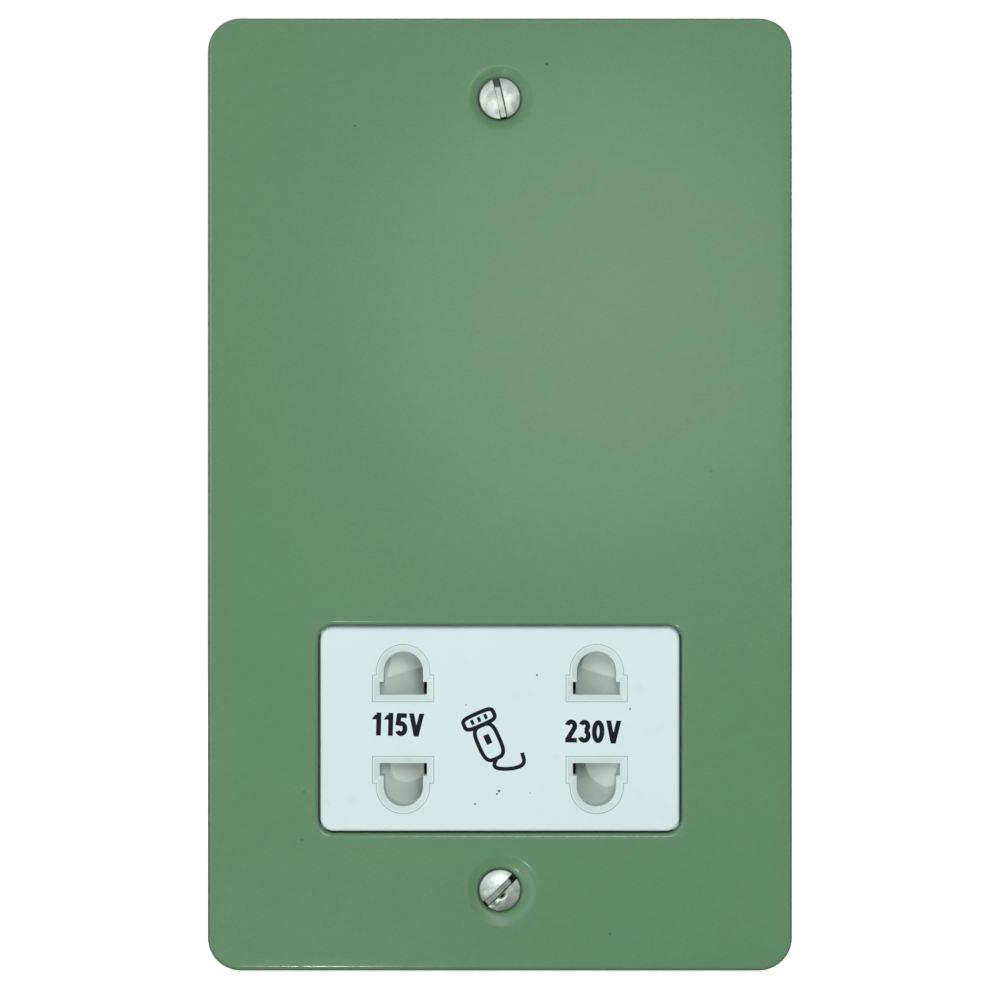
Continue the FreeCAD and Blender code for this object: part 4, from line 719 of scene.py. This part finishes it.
def carried(loop, profile, lean):
    """A profile of (offset, y, lean share) carried round a loop, out along its normals."""
    points, normal = loop
    offset, y, share = np.array(profile).T
    flat = points[None] + normal[None] * offset[:, None, None]
    x = flat[..., 0] + lean * share[:, None]
    depth = np.repeat(y[:, None], len(points), axis=1)
    return tube(np.stack([x, depth, flat[..., 1]], axis=-1))


def filled(rings):
    """A flat face between rings of points: the first ring is its edge and the rest are holes."""
    corners = [[Vector((corner[0], corner[2], 0.0)) for corner in ring] for ring in rings]
    return np.concatenate(rings), [list(face) for face in tessellate_polygon(corners)]


def arc(centre, radius, start, end, count):
    """Profile points (offset, y, 0) on an arc, from one angle in degrees to another."""
    angle = np.radians(np.linspace(start, end, count))
    offset, y = centre[0] + radius * np.cos(angle), centre[1] + radius * np.sin(angle)
    return list(zip(offset, y, np.zeros(count)))


def dish_profile(late):
    """Front and back of a dished screw seat, as (radius, y, lean share).

    The front falls from the lip to the floor along f = (1 - s^2 (3 - 2 s))^late, then a 45 degree
    cone leads to the hole. At the back a collar round the hole drops straight to the pan. From
    there a ring rises outwards along the same f and drops to the pan again past the lip.
    """
    share = np.linspace(1, 0, 18)
    fall = (1 - share**2 * (3 - 2 * share)) ** late
    radius = DISH_FLOOR + share * (DISH_LIP - DISH_FLOOR)
    floor, hole_end = PLATE_FACE + DISH_DEPTH, PLATE_FACE + DISH_BACK
    throat = floor + DISH_FLOOR - SCREW_HOLE
    front = [(DISH_LIP + DISH_MARGIN, PLATE_FACE, 1.0)]
    front += list(zip(radius, PLATE_FACE + DISH_DEPTH * fall, share))
    front += [
        (DISH_FLOOR - HOLE_SOFT, floor + CONE_SOFT, 0.0),
        (SCREW_HOLE + CONE_SOFT, throat - CONE_SOFT, 0.0),
        (SCREW_HOLE, throat, 0.0),
        (SCREW_HOLE, hole_end - HOLE_SOFT, 0.0),
        (SCREW_HOLE + HOLE_SOFT, hole_end, 0.0),
    ]
    outwards = share[::-1]
    ring = radius[::-1] + DISH_RING - (DISH_RING - DISH_COLLAR) * (1 - outwards)
    back = [(DISH_FLOOR + DISH_COLLAR, hole_end, 0.0)]
    back += list(zip(ring, PAN_FLOOR + (hole_end - PAN_FLOOR) * fall, outwards))
    return front + back + [(DISH_LIP + DISH_RING + RING_FALL, PAN_FLOOR, 1.0)]


def stud_surface(x, z):
    """A welded stud: a radius with a rolled thread, r - d * |2 f - 1| for the turn's share f."""
    tip = PAN_FLOOR + STUD_LENGTH
    weld = [PAN_FLOOR, PAN_FLOOR + 0.08, PAN_FLOOR + 0.3]
    y = np.concatenate(
        [weld, np.arange(PAN_FLOOR + 0.6, tip - 0.3, STUD_PITCH / 6), [tip - 0.25, tip]]
    )
    angle = np.linspace(0, TURN, 24, endpoint=False)
    depth, turn = np.meshgrid(y, angle, indexing="ij")
    share = (depth / STUD_PITCH - turn / TURN) % 1.0
    threaded = (depth > PAN_FLOOR + 0.5) & (depth < tip - 0.2)
    radius = STUD_RADIUS - STUD_THREAD * np.abs(2 * share - 1) * threaded
    radius[0], radius[1] = STUD_RADIUS + STUD_WELD[0], STUD_RADIUS + STUD_WELD[1]
    radius[-1] = STUD_RADIUS - STUD_CHAMFER
    return np.stack([x + radius * np.cos(turn), depth, z + radius * np.sin(turn)], axis=-1)


def plate_shell():
    """The pressed plate with soft edges: bands carried round its rim, window, dishes and studs,
    and flat faces filled between them, front and back."""
    rim = [(-RIM_WIDTH, PLATE_FACE, 0.0)]
    rim += arc((-EDGE_ROUND, PLATE_FACE + EDGE_ROUND), EDGE_ROUND, -90, 0, 12)
    rim += arc((-FOOT_OUTER, -FOOT_OUTER), FOOT_OUTER, 0, 90, 5)
    rim += arc((FOOT_INNER - PLATE_GAUGE, -FOOT_INNER), FOOT_INNER, 90, 180, 4)
    rim += arc((-PLATE_GAUGE - PAN_ROUND, PAN_FLOOR + PAN_ROUND), PAN_ROUND, 0, -90, 6)
    rim += [(-RIM_WIDTH, PAN_FLOOR, 0.0)]
    edge_loop = rounded_loop(PLATE_HIGH[0], PLATE_HIGH[2], PLATE_CORNER)
    window = [(WINDOW_EDGE, PLATE_FACE, 0.0)]
    window += arc((WINDOW_ROUND, PLATE_FACE + WINDOW_ROUND), WINDOW_ROUND, -90, -180, 9)
    window += [
        (0.0, PAN_FLOOR - WINDOW_CHAMFER, 0.0), (WINDOW_CHAMFER, PAN_FLOOR, 0.0),
        (WINDOW_BACK, PAN_FLOOR, 0.0),
    ]
    window_loop = rounded_loop(
        INSERT_HALF_X + WINDOW_GAP, INSERT_HALF_Z + WINDOW_GAP, WINDOW_CORNER, INSERT_MIDDLE
    )
    bands = [(edge_loop, rim, 0.0), (window_loop, window, 0.0)]
    for screw, (lean, late) in DISHES.items():
        bands.append((spokes(*middle_of(screw)), dish_profile(late), lean))
    parts = [carried(*band) for band in bands]
    counts = [len(band[0][0]) for band in bands]
    front_rings = [part[0][:count] for part, count in zip(parts, counts)]
    back_rings = [part[0][-count:] for part, count in zip(parts, counts)]
    for x, z in STUD_PLACES:
        band = stud_surface(x, z)
        parts += [tube(band), (band[-1], [list(range(len(band[-1])))])]
        back_rings.append(band[0])
    parts += [filled(front_rings), filled(back_rings)]
    piece = mesh_piece("plate_shell", *joined(parts), FINISHES["plate_paint"])
    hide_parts("front_plate")


# Apertures, both ways from the insert's middle: each column's place, the blade slot's half width
# and ends, and the pin hole's radius and middle
COLUMN = 14.7
SLOT_HALF_WIDTH = 3.6
SLOT_NEAR, SLOT_FAR = 5.2, 7.15
PIN_RADIUS = 3.0
PIN_OFFSET = 8.8
# The collar's wall, the joint round it, how far it bites into both, and the depths below the
# insert's face where it begins and ends
COLLAR_WALL = 1.0
COLLAR_GAP = 0.12
JOINT_BITE = 0.02
JOINT_SINK = 0.07
JOINT_DEPTH = 0.6


def keyhole_loop(column, row, grow, count=33):
    """A blade slot that opens into a round pin hole, grown outwards: straight runs, then the arc
    (r cos a, offset + r sin a) from 0 to 180 degrees, as (x, z) points once round."""
    slot, hole = SLOT_HALF_WIDTH + grow, PIN_RADIUS + grow
    near, step = SLOT_NEAR - grow, SLOT_FAR + grow
    angle = np.linspace(0, math.pi, count)
    bow = np.stack([hole * np.cos(angle), PIN_OFFSET + hole * np.sin(angle)], axis=-1)
    runs = np.array([(slot, near), (slot, step), (hole, step)])
    outline = np.concatenate([runs, bow, runs[::-1] * (-1, 1)])
    return outline * (1, row) + (column * COLUMN, INSERT_MIDDLE)


def collar_joints():
    """The pressed joint round each collar: a shallow groove's floor, just below the insert's face.

    Its section is a small rectangle carried round the collar's outline and let into both sides.
    """
    top, bottom = INSERT_FACE + JOINT_SINK, INSERT_FACE + JOINT_DEPTH
    near, far = COLLAR_WALL - JOINT_BITE, COLLAR_WALL + COLLAR_GAP + JOINT_BITE
    section = [(near, top), (far, top), (far, bottom), (near, bottom), (near, top)]
    parts = []
    for column in (-1, 1):
        for row in (-1, 1):
            loops = [(keyhole_loop(column, row, grow), y) for grow, y in section]
            band = np.stack([np.insert(loop, 1, y, axis=1) for loop, y in loops])
            parts.append(tube(band))
    piece = mesh_piece("collar_joints", *joined(parts), FINISHES["soiled_joint"], smooth=False)


# Centring springs of the shutter: the wire's radius, the open turns, a closed turn's climb as a
# share of the wire's radius, and the play at each end
SPRING_WIRE = 0.2
SPRING_TURNS = 7
SPRING_CLIMB = 2.1
SPRING_END_PLAY = 0.1
# How far past a spring's ends its stretch is reckoned, so that no coils meet at a limit
SPRING_SPREAD = 1.0


def shutter_spring(name):
    """A coil spring with a closed turn at each end: a round wire carried along a helix.

    Along the axis the wire climbs by little more than its thickness in an end turn, and evenly
    between them.
    """
    low, high = edges(name)
    side = 1 if low[0] > 0 else -1
    near = min(abs(low[0]), abs(high[0])) + SPRING_WIRE + SPRING_END_PLAY
    far = max(abs(low[0]), abs(high[0])) - SPRING_WIRE - SPRING_END_PLAY
    radius = (high[1] - low[1]) / 2 - SPRING_WIRE
    turns = np.linspace(0, SPRING_TURNS + 2, (SPRING_TURNS + 2) * 24 + 1)
    closed = SPRING_WIRE * SPRING_CLIMB
    stages = [0, 1, SPRING_TURNS + 1, SPRING_TURNS + 2]
    along = np.interp(turns, stages, [near, near + closed, far - closed, far])[:, None]
    angle = (turns * TURN)[:, None]
    around = np.linspace(0, TURN, 10, endpoint=False)[None, :]
    reach = radius + SPRING_WIRE * np.cos(around)
    x = side * (along + SPRING_WIRE * np.sin(around))
    y = (low[1] + high[1]) / 2 + reach * np.cos(angle)
    z = (low[2] + high[2]) / 2 + reach * np.sin(angle)
    points, faces = tube(np.stack([x, y, z], axis=-1))
    ring = list(range(around.size))
    faces += [ring, [index + len(points) - len(ring) for index in ring]]
    piece = mesh_piece(f"{name}_coil", points, faces, FINISHES["spring_steel"], body=None)
    ends = [(side * at * MM, 0.0, 0.0) for at in (near - SPRING_SPREAD, far + SPRING_SPREAD)]
    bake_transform(piece)
    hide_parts(name)


# Fixing screws: the head's radius, its crown's rise and its land, and the slot
HEAD_RADIUS = 3.2
HEAD_RISE = 0.8
HEAD_LAND = 0.15
SLOT_HALF = 0.5
SLOT_DEPTH = 0.93
# Half width of the step at the slot's wall, and the burr beside it: height, place and spread
WALL_HALF = 0.03
BURR_HEIGHT, BURR_PLACE, BURR_SPREAD = 0.035, 0.10, 0.07
# Places across the slot of the first columns past its wall
BURR_COLUMNS = (0.57, 0.62)
# Thread: its radii and pitch, its run-in under the head, and the tip's length and taper
THREAD_RADIUS = 1.75
THREAD_CORE = 1.40
THREAD_PITCH = 0.6
THREAD_START, THREAD_RUN_IN = 0.3, 0.6
TIP_LENGTH, TIP_TAPER = 0.8, 0.2
# How far each head stands turned clockwise, in degrees
SLOT_TURNS = {"top_fixing_screw": -12.0, "bottom_fixing_screw": 46.3}
# Dents in a head, and a burr where the depth is below zero: across the slot, along it, depth
HEAD_NICKS = {
    "top_fixing_screw": [],
    "bottom_fixing_screw": [(0.82, -0.25, 0.36), (0.64, -2.2, 0.12), (1.0, -1.5, -0.10)],
}
DENT_SPREAD = 0.085
# Darkening in a slot: its share on the floor, how far along the imported end begins, its share there
SLOT_DARKENING = {"top_fixing_screw": (0.24, 1.6, 0.86), "bottom_fixing_screw": (0.52, 1.9, 1.0)}
# Shares of painted shade on the slot's wall, rim and flank, and of grime between the threads and at the
# tip
THICK_SHADE, THREAD_GRIME, TIP_GRIME = 0.9, 0.35, 0.3
# Its spread beside the slot's wall, the widths at the slot's clean end and round the rim, and how
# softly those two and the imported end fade
WALL_SPREAD = 0.045
RUNOUT, RIM_LINE = 0.45, 0.22
LINE_FADE, END_FADE = 0.2, 0.4


def dent(across, along, nick):
    """A dent's share of its depth: a flat-bottomed bell exp(-d^4 / s^4), twice as long as wide."""
    gap = (across - nick[0]) ** 2 + ((along - nick[1]) / 2.0) ** 2
    return np.exp(-((gap / DENT_SPREAD) ** 2))


def head_crown(across, along, nicks):
    """Depth of the crown below its top: a sphere's cap, less the slot's trough and the dents.

    The cap is R - sqrt(R^2 - r^2). The trough is a steep straight step down on each side of the
    slot, with a burr exp(-d^2 / s^2) beside it.
    """
    cap = (HEAD_RADIUS**2 + HEAD_RISE**2) / (2 * HEAD_RISE)
    depth = cap - np.sqrt(cap**2 - across**2 - along**2)
    for nick in nicks:
        depth = depth + nick[2] * dent(across, along, nick)
    wall = np.clip((SLOT_HALF + WALL_HALF - np.abs(across)) / (2 * WALL_HALF), 0, 1)
    burr = BURR_HEIGHT * np.exp(-((np.abs(across) - SLOT_HALF - BURR_PLACE) / BURR_SPREAD) ** 2)
    return np.where(wall > 0, depth * (1 - wall) + SLOT_DEPTH * wall, depth - burr)


def head_grime_and_shade(across, along, nicks, floor, packed, end_share):
    """Darkening of the crown, part grime and part painted shade: in streaks on the slot's floor, thick
    in its packed end and in the dents, and as painted shade black on one wall and in a thin line round
    the rim."""
    beside = np.abs(np.abs(across) - SLOT_HALF)
    in_slot = (np.abs(across) < SLOT_HALF).astype(float)
    end = np.clip((along - packed + 0.2 * across) / END_FADE, 0, 1)
    streaks = 0.09 * np.sin(across * 19.0 + 0.9 * np.sin(along * 1.7)) + 0.05 * np.sin(along * 2.3)
    runout = np.clip((-along - HEAD_RADIUS + RUNOUT) / LINE_FADE, 0, 1)
    grime_and_shade = in_slot * np.clip((floor + streaks) * (1 - end) + end_share * end + runout, 0, 1)
    # Painted shade on one wall of the slot
    grime_and_shade = np.maximum(grime_and_shade, np.exp(-((beside / WALL_SPREAD) ** 2)) * (across > 0) * THICK_SHADE)
    for nick in nicks:
        grime_and_shade = np.maximum(grime_and_shade, dent(across, along, nick) * min(nick[2] * 3.4, 1.0))
    # Painted shade in a thin line round the rim
    rim = np.clip((np.hypot(across, along) - HEAD_RADIUS + RIM_LINE) / LINE_FADE, 0, 1)
    return np.maximum(grime_and_shade, rim * THICK_SHADE)


def fixing_screw(name):
    """Raised countersunk slotted screw with a rolled thread, turned to where it was left.

    The crown is a grid of columns across the slot, each running from rim to rim of the head:
    along = t * sqrt(R^2 - across^2). The flank is a ruled band from the crown's rim down a land
    and a cone, and the thread is a radius that rises and falls with y / pitch - angle / turn.
    """
    low, high = edges(name)
    top, tip = low[1], high[1]
    middle = middle_of(name)
    step = np.array([0.0, WALL_HALF, 2 * WALL_HALF]) + SLOT_HALF - WALL_HALF
    inner = np.linspace(0, SLOT_HALF - WALL_HALF, 5)[:-1]
    first = math.asin(BURR_COLUMNS[1] / HEAD_RADIUS)
    outer = HEAD_RADIUS * np.sin(np.linspace(first, math.pi / 2, 30))
    half = np.concatenate([inner, step, [BURR_COLUMNS[0]], outer])
    across = np.concatenate([-half[:0:-1], half])
    share = np.sin(np.linspace(-math.pi / 2, math.pi / 2, 57))
    u = np.repeat(across[:, None], len(share), axis=1)
    v = share[None, :] * np.sqrt(np.maximum(HEAD_RADIUS**2 - u**2, 1e-6))
    crown = np.stack([u, top + head_crown(u, v, HEAD_NICKS[name]), v], axis=-1)
    parts = [(crown.reshape(-1, 3), grid_faces(len(across), len(share)))]
    grime_and_shade = [head_grime_and_shade(u, v, HEAD_NICKS[name], *SLOT_DARKENING[name]).ravel()]

    rim = np.concatenate([crown[:, -1], crown[-2::-1, 0]])
    ring_angle = np.arctan2(rim[:, 2], rim[:, 0])
    rim_floor = top + HEAD_RISE + HEAD_LAND
    band = [rim]
    for radius, drop in ((HEAD_RADIUS, 0.0), (THREAD_CORE, HEAD_RADIUS - THREAD_CORE)):
        y = np.full(len(rim), rim_floor + drop)
        band.append(np.stack([radius * np.cos(ring_angle), y, radius * np.sin(ring_angle)], axis=-1))
    parts.append(tube(np.stack(band)))
    # Painted shade on the flank under the head
    grime_and_shade.append(np.full(len(parts[-1][0]), THICK_SHADE))

    start = rim_floor + HEAD_RADIUS - THREAD_CORE
    turn = np.linspace(0, TURN, 24, endpoint=False)
    run = np.linspace(start, tip, int((tip - start) / THREAD_PITCH * 6))
    y, angle = np.meshgrid(run, turn, indexing="ij")
    phase = (y / THREAD_PITCH - angle / TURN) % 1.0
    ridge = np.clip(1.25 - np.abs(phase - 0.5) * 3.2, 0, 1)
    from_tip = np.clip((tip - y) / TIP_LENGTH, 0, 1)
    fade = np.clip((y - start - THREAD_START) / THREAD_RUN_IN, 0, 1) * from_tip
    radius = THREAD_CORE - TIP_TAPER * (1 - from_tip) + ridge * fade * (THREAD_RADIUS - THREAD_CORE)
    shank = np.stack([radius * np.cos(angle), y, radius * np.sin(angle)], axis=-1)
    parts += [tube(shank), (shank[-1], [list(range(len(turn)))])]
    grime_and_shade += [THREAD_GRIME * (1 - ridge.ravel()), np.full(len(turn), TIP_GRIME)]

    points, faces = joined(parts)
    x, z = turned(points[:, 0], points[:, 2], -SLOT_TURNS[name])
    placed = np.stack([x + middle[0], points[:, 1], z + middle[1]], axis=-1)
    finish_name = "nickel_screw"
    piece = mesh_piece(
        f"{name}_detail", placed, faces, FINISHES[finish_name], grime_and_shade=np.concatenate(grime_and_shade)
    )
    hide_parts(name)


# Printed marks on the insert: how far they stand out of its face and reach into it, and how much
# lower each stroke lies than the one before, so that no two tops are level
PRINT_RISE = 0.012
PRINT_SINK = 0.02
PRINT_STEP = 0.0004
# How far a line of print falls to the right, in degrees
PRINT_LEAN = 1.5
# Each rating: its word, and the left, right, top and bottom pixel of its print
RATINGS = {
    "rating_115": ("115V", 371.5, 424.0, 713.0, 736.0),
    "rating_230": ("230V", 565.0, 621.0, 720.0, 743.0),
}
# Half width of a line and a bow, and of a bar measured level, in shares of a figure's height
STROKE = 0.1
SLANT = 0.102
# Each figure's advance and its strokes in such shares. A bar runs between two points and is cut
# level at both ends, a line is cut square, and a bow is part of an oval between two angles.
FIGURES = {
    "1": (0.50, [("bar", 0.33, 0.0, 0.33, 1.0), ("bar", 0.13, 0.70, 0.27, 0.90)]),
    "5": (0.58, [
        ("line", 0.13, 0.895, 0.50, 0.895), ("bar", 0.19, 0.99, 0.13, 0.46),
        ("bow", 0.27, 0.325, 0.165, 0.225, 138, -152),
    ]),
    "V": (0.66, [("bar", 0.115, 1.0, 0.33, 0.0), ("bar", 0.545, 1.0, 0.33, 0.0)]),
    "2": (0.57, [
        ("bow", 0.26, 0.715, 0.155, 0.185, 168, -32), ("line", 0.40, 0.635, 0.13, 0.13),
        ("line", 0.03, 0.1, 0.52, 0.1),
    ]),
    "3": (0.57, [
        ("bow", 0.25, 0.725, 0.145, 0.175, 160, -85), ("bow", 0.25, 0.31, 0.17, 0.21, 85, -160),
    ]),
    "0": (0.57, [("bow", 0.26, 0.5, 0.16, 0.4, 0, 360)]),
}


def ribbon(x, z, half, sink):
    """A flat closed band of ink along a line (x, z): its two sides lie a half width off it,
    along the line's normal (-dz, dx), and it has a top and a bottom."""
    dx, dz = np.gradient(x), np.gradient(z)
    length = np.hypot(dx, dz)
    nx, nz = -dz / length * half, dx / length * half
    return prism(np.stack([x + nx, z + nz], -1), np.stack([x - nx, z - nz], -1), sink)


def prism(left, right, sink):
    """A thin closed strip between a left and a right side, each a row of (x, z) points."""
    top, bottom = INSERT_FACE - PRINT_RISE + sink, INSERT_FACE + PRINT_SINK
    ring = [(left, top), (right, top), (right, bottom), (left, bottom)]
    points = np.stack(
        [np.stack([side[:, 0], np.full(len(side), y), side[:, 1]], -1) for side, y in ring], axis=1
    )
    last = (len(left) - 1) * 4
    faces = grid_faces(len(left), 4, around=True)
    faces += [[3, 2, 1, 0], [last, last + 1, last + 2, last + 3]]
    return points.reshape(-1, 3), faces


def stroke(kind, given, start_x, sink):
    """One stroke of a figure that starts at start_x, as a strip of ink."""
    if kind == "bow":
        x, z, half_x, half_z, first, last = given
        angle = np.radians(np.linspace(first, last, 41))
        return ribbon(x + half_x * np.cos(angle) + start_x, z + half_z * np.sin(angle), STROKE, sink)
    x = np.linspace(given[0], given[2], 4) + start_x
    z = np.linspace(given[1], given[3], 4)
    if kind == "line":
        return ribbon(x, z, STROKE, sink)
    return prism(np.stack([x - SLANT, z], -1), np.stack([x + SLANT, z], -1), sink)


def printed_rating(name, word, left, right, top, bottom):
    """A rating in bold condensed strokes, stretched to its printed box of pixels and turned."""
    parts, start = [], 0.0
    for letter in word:
        advance, strokes = FIGURES[letter]
        for kind, *given in strokes:
            parts.append(stroke(kind, given, start, PRINT_STEP * len(parts)))
        start += advance
    points, faces = joined(parts)
    low, high = points.min(axis=0), points.max(axis=0)
    first, last = on_plate(left, bottom), on_plate(right, top)
    across = (points[:, 0] - low[0]) / (high[0] - low[0]) - 0.5
    up = (points[:, 2] - low[2]) / (high[2] - low[2]) - 0.5
    x, z = turned(across * (last[0] - first[0]), up * (last[1] - first[1]), -PRINT_LEAN)
    x, z = x + (first[0] + last[0]) / 2, z + (first[1] + last[1]) / 2
    placed = np.stack([x, points[:, 1], z], axis=-1)
    piece = mesh_piece(name, placed, faces, INK, smooth=False)


# Sign: the pixel of its body's middle, its line's half width and its tilt in degrees
SIGN_PIXEL = (489.0, 742.0)
SIGN_LINE = 0.3
SIGN_TILT = 24.0
# Middle, half width, half height and squareness of its body and head, up from the body's middle
SIGN_BODY = (0.0, 1.65, 2.75, 3.4)
SIGN_HEAD = (3.75, 2.45, 0.95, 4.0)
# Ends of the switch and of the foils, their lines as shares of the sign's, and the foils' places
SWITCH_SPAN, SWITCH_LINE = (-0.3, 1.2), 1.5
FOIL_SPAN, FOIL_LINE = (3.35, 4.15), 0.8
FOIL_PLACES = (-1.1, 0.0, 1.1)
# Cord: how far it runs to the right, swings back, sags and ends above its start
CORD_RUN, CORD_SWING, CORD_SAG, CORD_RISE = 3.9, 1.1, 2.0, 0.9


def closed_line(middle, half_x, half_z, power, count=72):
    """A squared-off oval |x / a|^n + |z / b|^n = 1, once round, with its end on its start."""
    angle = np.linspace(0, TURN, count + 1)
    cos, sin = np.cos(angle), np.sin(angle)
    x = half_x * np.sign(cos) * np.abs(cos) ** (2 / power)
    z = middle + half_z * np.sign(sin) * np.abs(sin) ** (2 / power)
    return x, z


def shaver_sign():
    """A plain sign of a shaver: a body, a head with three foils, a switch and a curled cord.

    The body and head are squared ovals, tilted together. The cord sags as half a sine and swings
    back as a whole one while it runs to the right.
    """
    lines = [
        (*closed_line(*SIGN_BODY), SIGN_LINE),
        (*closed_line(*SIGN_HEAD), SIGN_LINE),
        (np.zeros(6), np.linspace(*SWITCH_SPAN, 6), SIGN_LINE * SWITCH_LINE),
    ]
    foil = np.linspace(*FOIL_SPAN, 6)
    lines += [(np.full(6, x), foil, SIGN_LINE * FOIL_LINE) for x in FOIL_PLACES]
    x, z = on_plate(*SIGN_PIXEL)
    parts = []
    for across, up, half in lines:
        across, up = turned(across, up, SIGN_TILT)
        parts.append(ribbon(x + across, z + up, half, PRINT_STEP * len(parts)))
    run = np.linspace(0, 1, 48)
    foot_x, foot_z = turned(0.0, -SIGN_BODY[2], SIGN_TILT)
    cord_x = x + foot_x + CORD_RUN * run - CORD_SWING * np.sin(run * TURN)
    cord_z = z + foot_z - CORD_SAG * np.sin(run * math.pi) ** 0.8 + CORD_RISE * run
    parts.append(ribbon(cord_x, cord_z, SIGN_LINE, PRINT_STEP * len(parts)))
    piece = mesh_piece("shaver_sign", *joined(parts), INK, smooth=False)


# Floor: its half width, its gap below the plate, its grey, and its glow where it is seen
FLOOR_HALF = 3000.0
FLOOR_GAP = 0.2
FLOOR_GREY = 0.8
FLOOR_GLOW = 0.72
# How strongly the white surround lights the scene
WORLD_LIGHT = 0.30


def make_stage():
    """A plain pale floor, seen as white, that keeps the object's shadow.

    Like the glass of a light table, it doesn't stop the light of a lamp below it.
    """
    corners = np.array([(-1, -1, 0), (1, -1, 0), (1, 1, 0), (-1, 1, 0)]) * FLOOR_HALF
    corners[:, 2] = PLATE_LOW[2] - FLOOR_GAP
    made = bpy.data.materials.new("pale_floor")
    made.use_nodes = True
    tree = made.node_tree
    shader = tree.nodes["Principled BSDF"]
    shader.inputs["Base Color"].default_value = (FLOOR_GREY, FLOOR_GREY, FLOOR_GREY, 1.0)
    shader.inputs["Roughness"].default_value = 0.9
    rays = Shade(tree).add("ShaderNodeLightPath", out="Is Camera Ray")
    glow = rays.add("ShaderNodeEmission", {"Strength": rays * FLOOR_GLOW})
    both = glow.add("ShaderNodeAddShader", {0: Shade(tree, shader.outputs[0]), 1: glow})
    passing = Shade(tree, rays.socket.node.outputs["Is Shadow Ray"])
    clear = rays.add("ShaderNodeBsdfTransparent")
    pane = rays.add("ShaderNodeMixShader", {0: passing, 1: both, 2: clear})
    tree.links.new(pane.socket, tree.nodes["Material Output"].inputs[0])
    data = bpy.data.meshes.new("floor")
    data.from_pydata((corners * MM).tolist(), [], [(0, 1, 2, 3)])
    data.materials.append(made)
    floor = placed_object("floor", data)


def make_world():
    """A white surround: full white where it is seen or mirrored, and weaker as a light."""
    bpy.context.scene.view_settings.view_transform = "Standard"
    world = bpy.data.worlds.new("surround")
    world.use_nodes = True
    bpy.context.scene.world = world
    tree = world.node_tree
    backdrop = tree.nodes["Background"]
    backdrop.inputs["Color"].default_value = (1.0, 1.0, 1.0, 1.0)
    camera = Shade(tree).add("ShaderNodeLightPath", out="Is Camera Ray")
    path = camera.socket.node
    glossy = Shade(tree, path.outputs["Is Glossy Ray"])
    through = Shade(tree, path.outputs["Is Transmission Ray"])
    seen = camera.greater(glossy).greater(through)
    strength = WORLD_LIGHT + seen * (1.0 - WORLD_LIGHT)
    tree.links.new(strength.socket, backdrop.inputs["Strength"])


make_camera()
make_stage()
make_world()
for lamp, settings in LAMPS.items():
    make_lamp(lamp, *settings)

dress_nodes()
plate_shell()
collar_joints()
for spring in ("left_shutter_spring", "right_shutter_spring"):
    shutter_spring(spring)
for screw in SLOT_TURNS:
    fixing_screw(screw)
for rating, print_box in RATINGS.items():
    printed_rating(rating, *print_box)
shaver_sign()
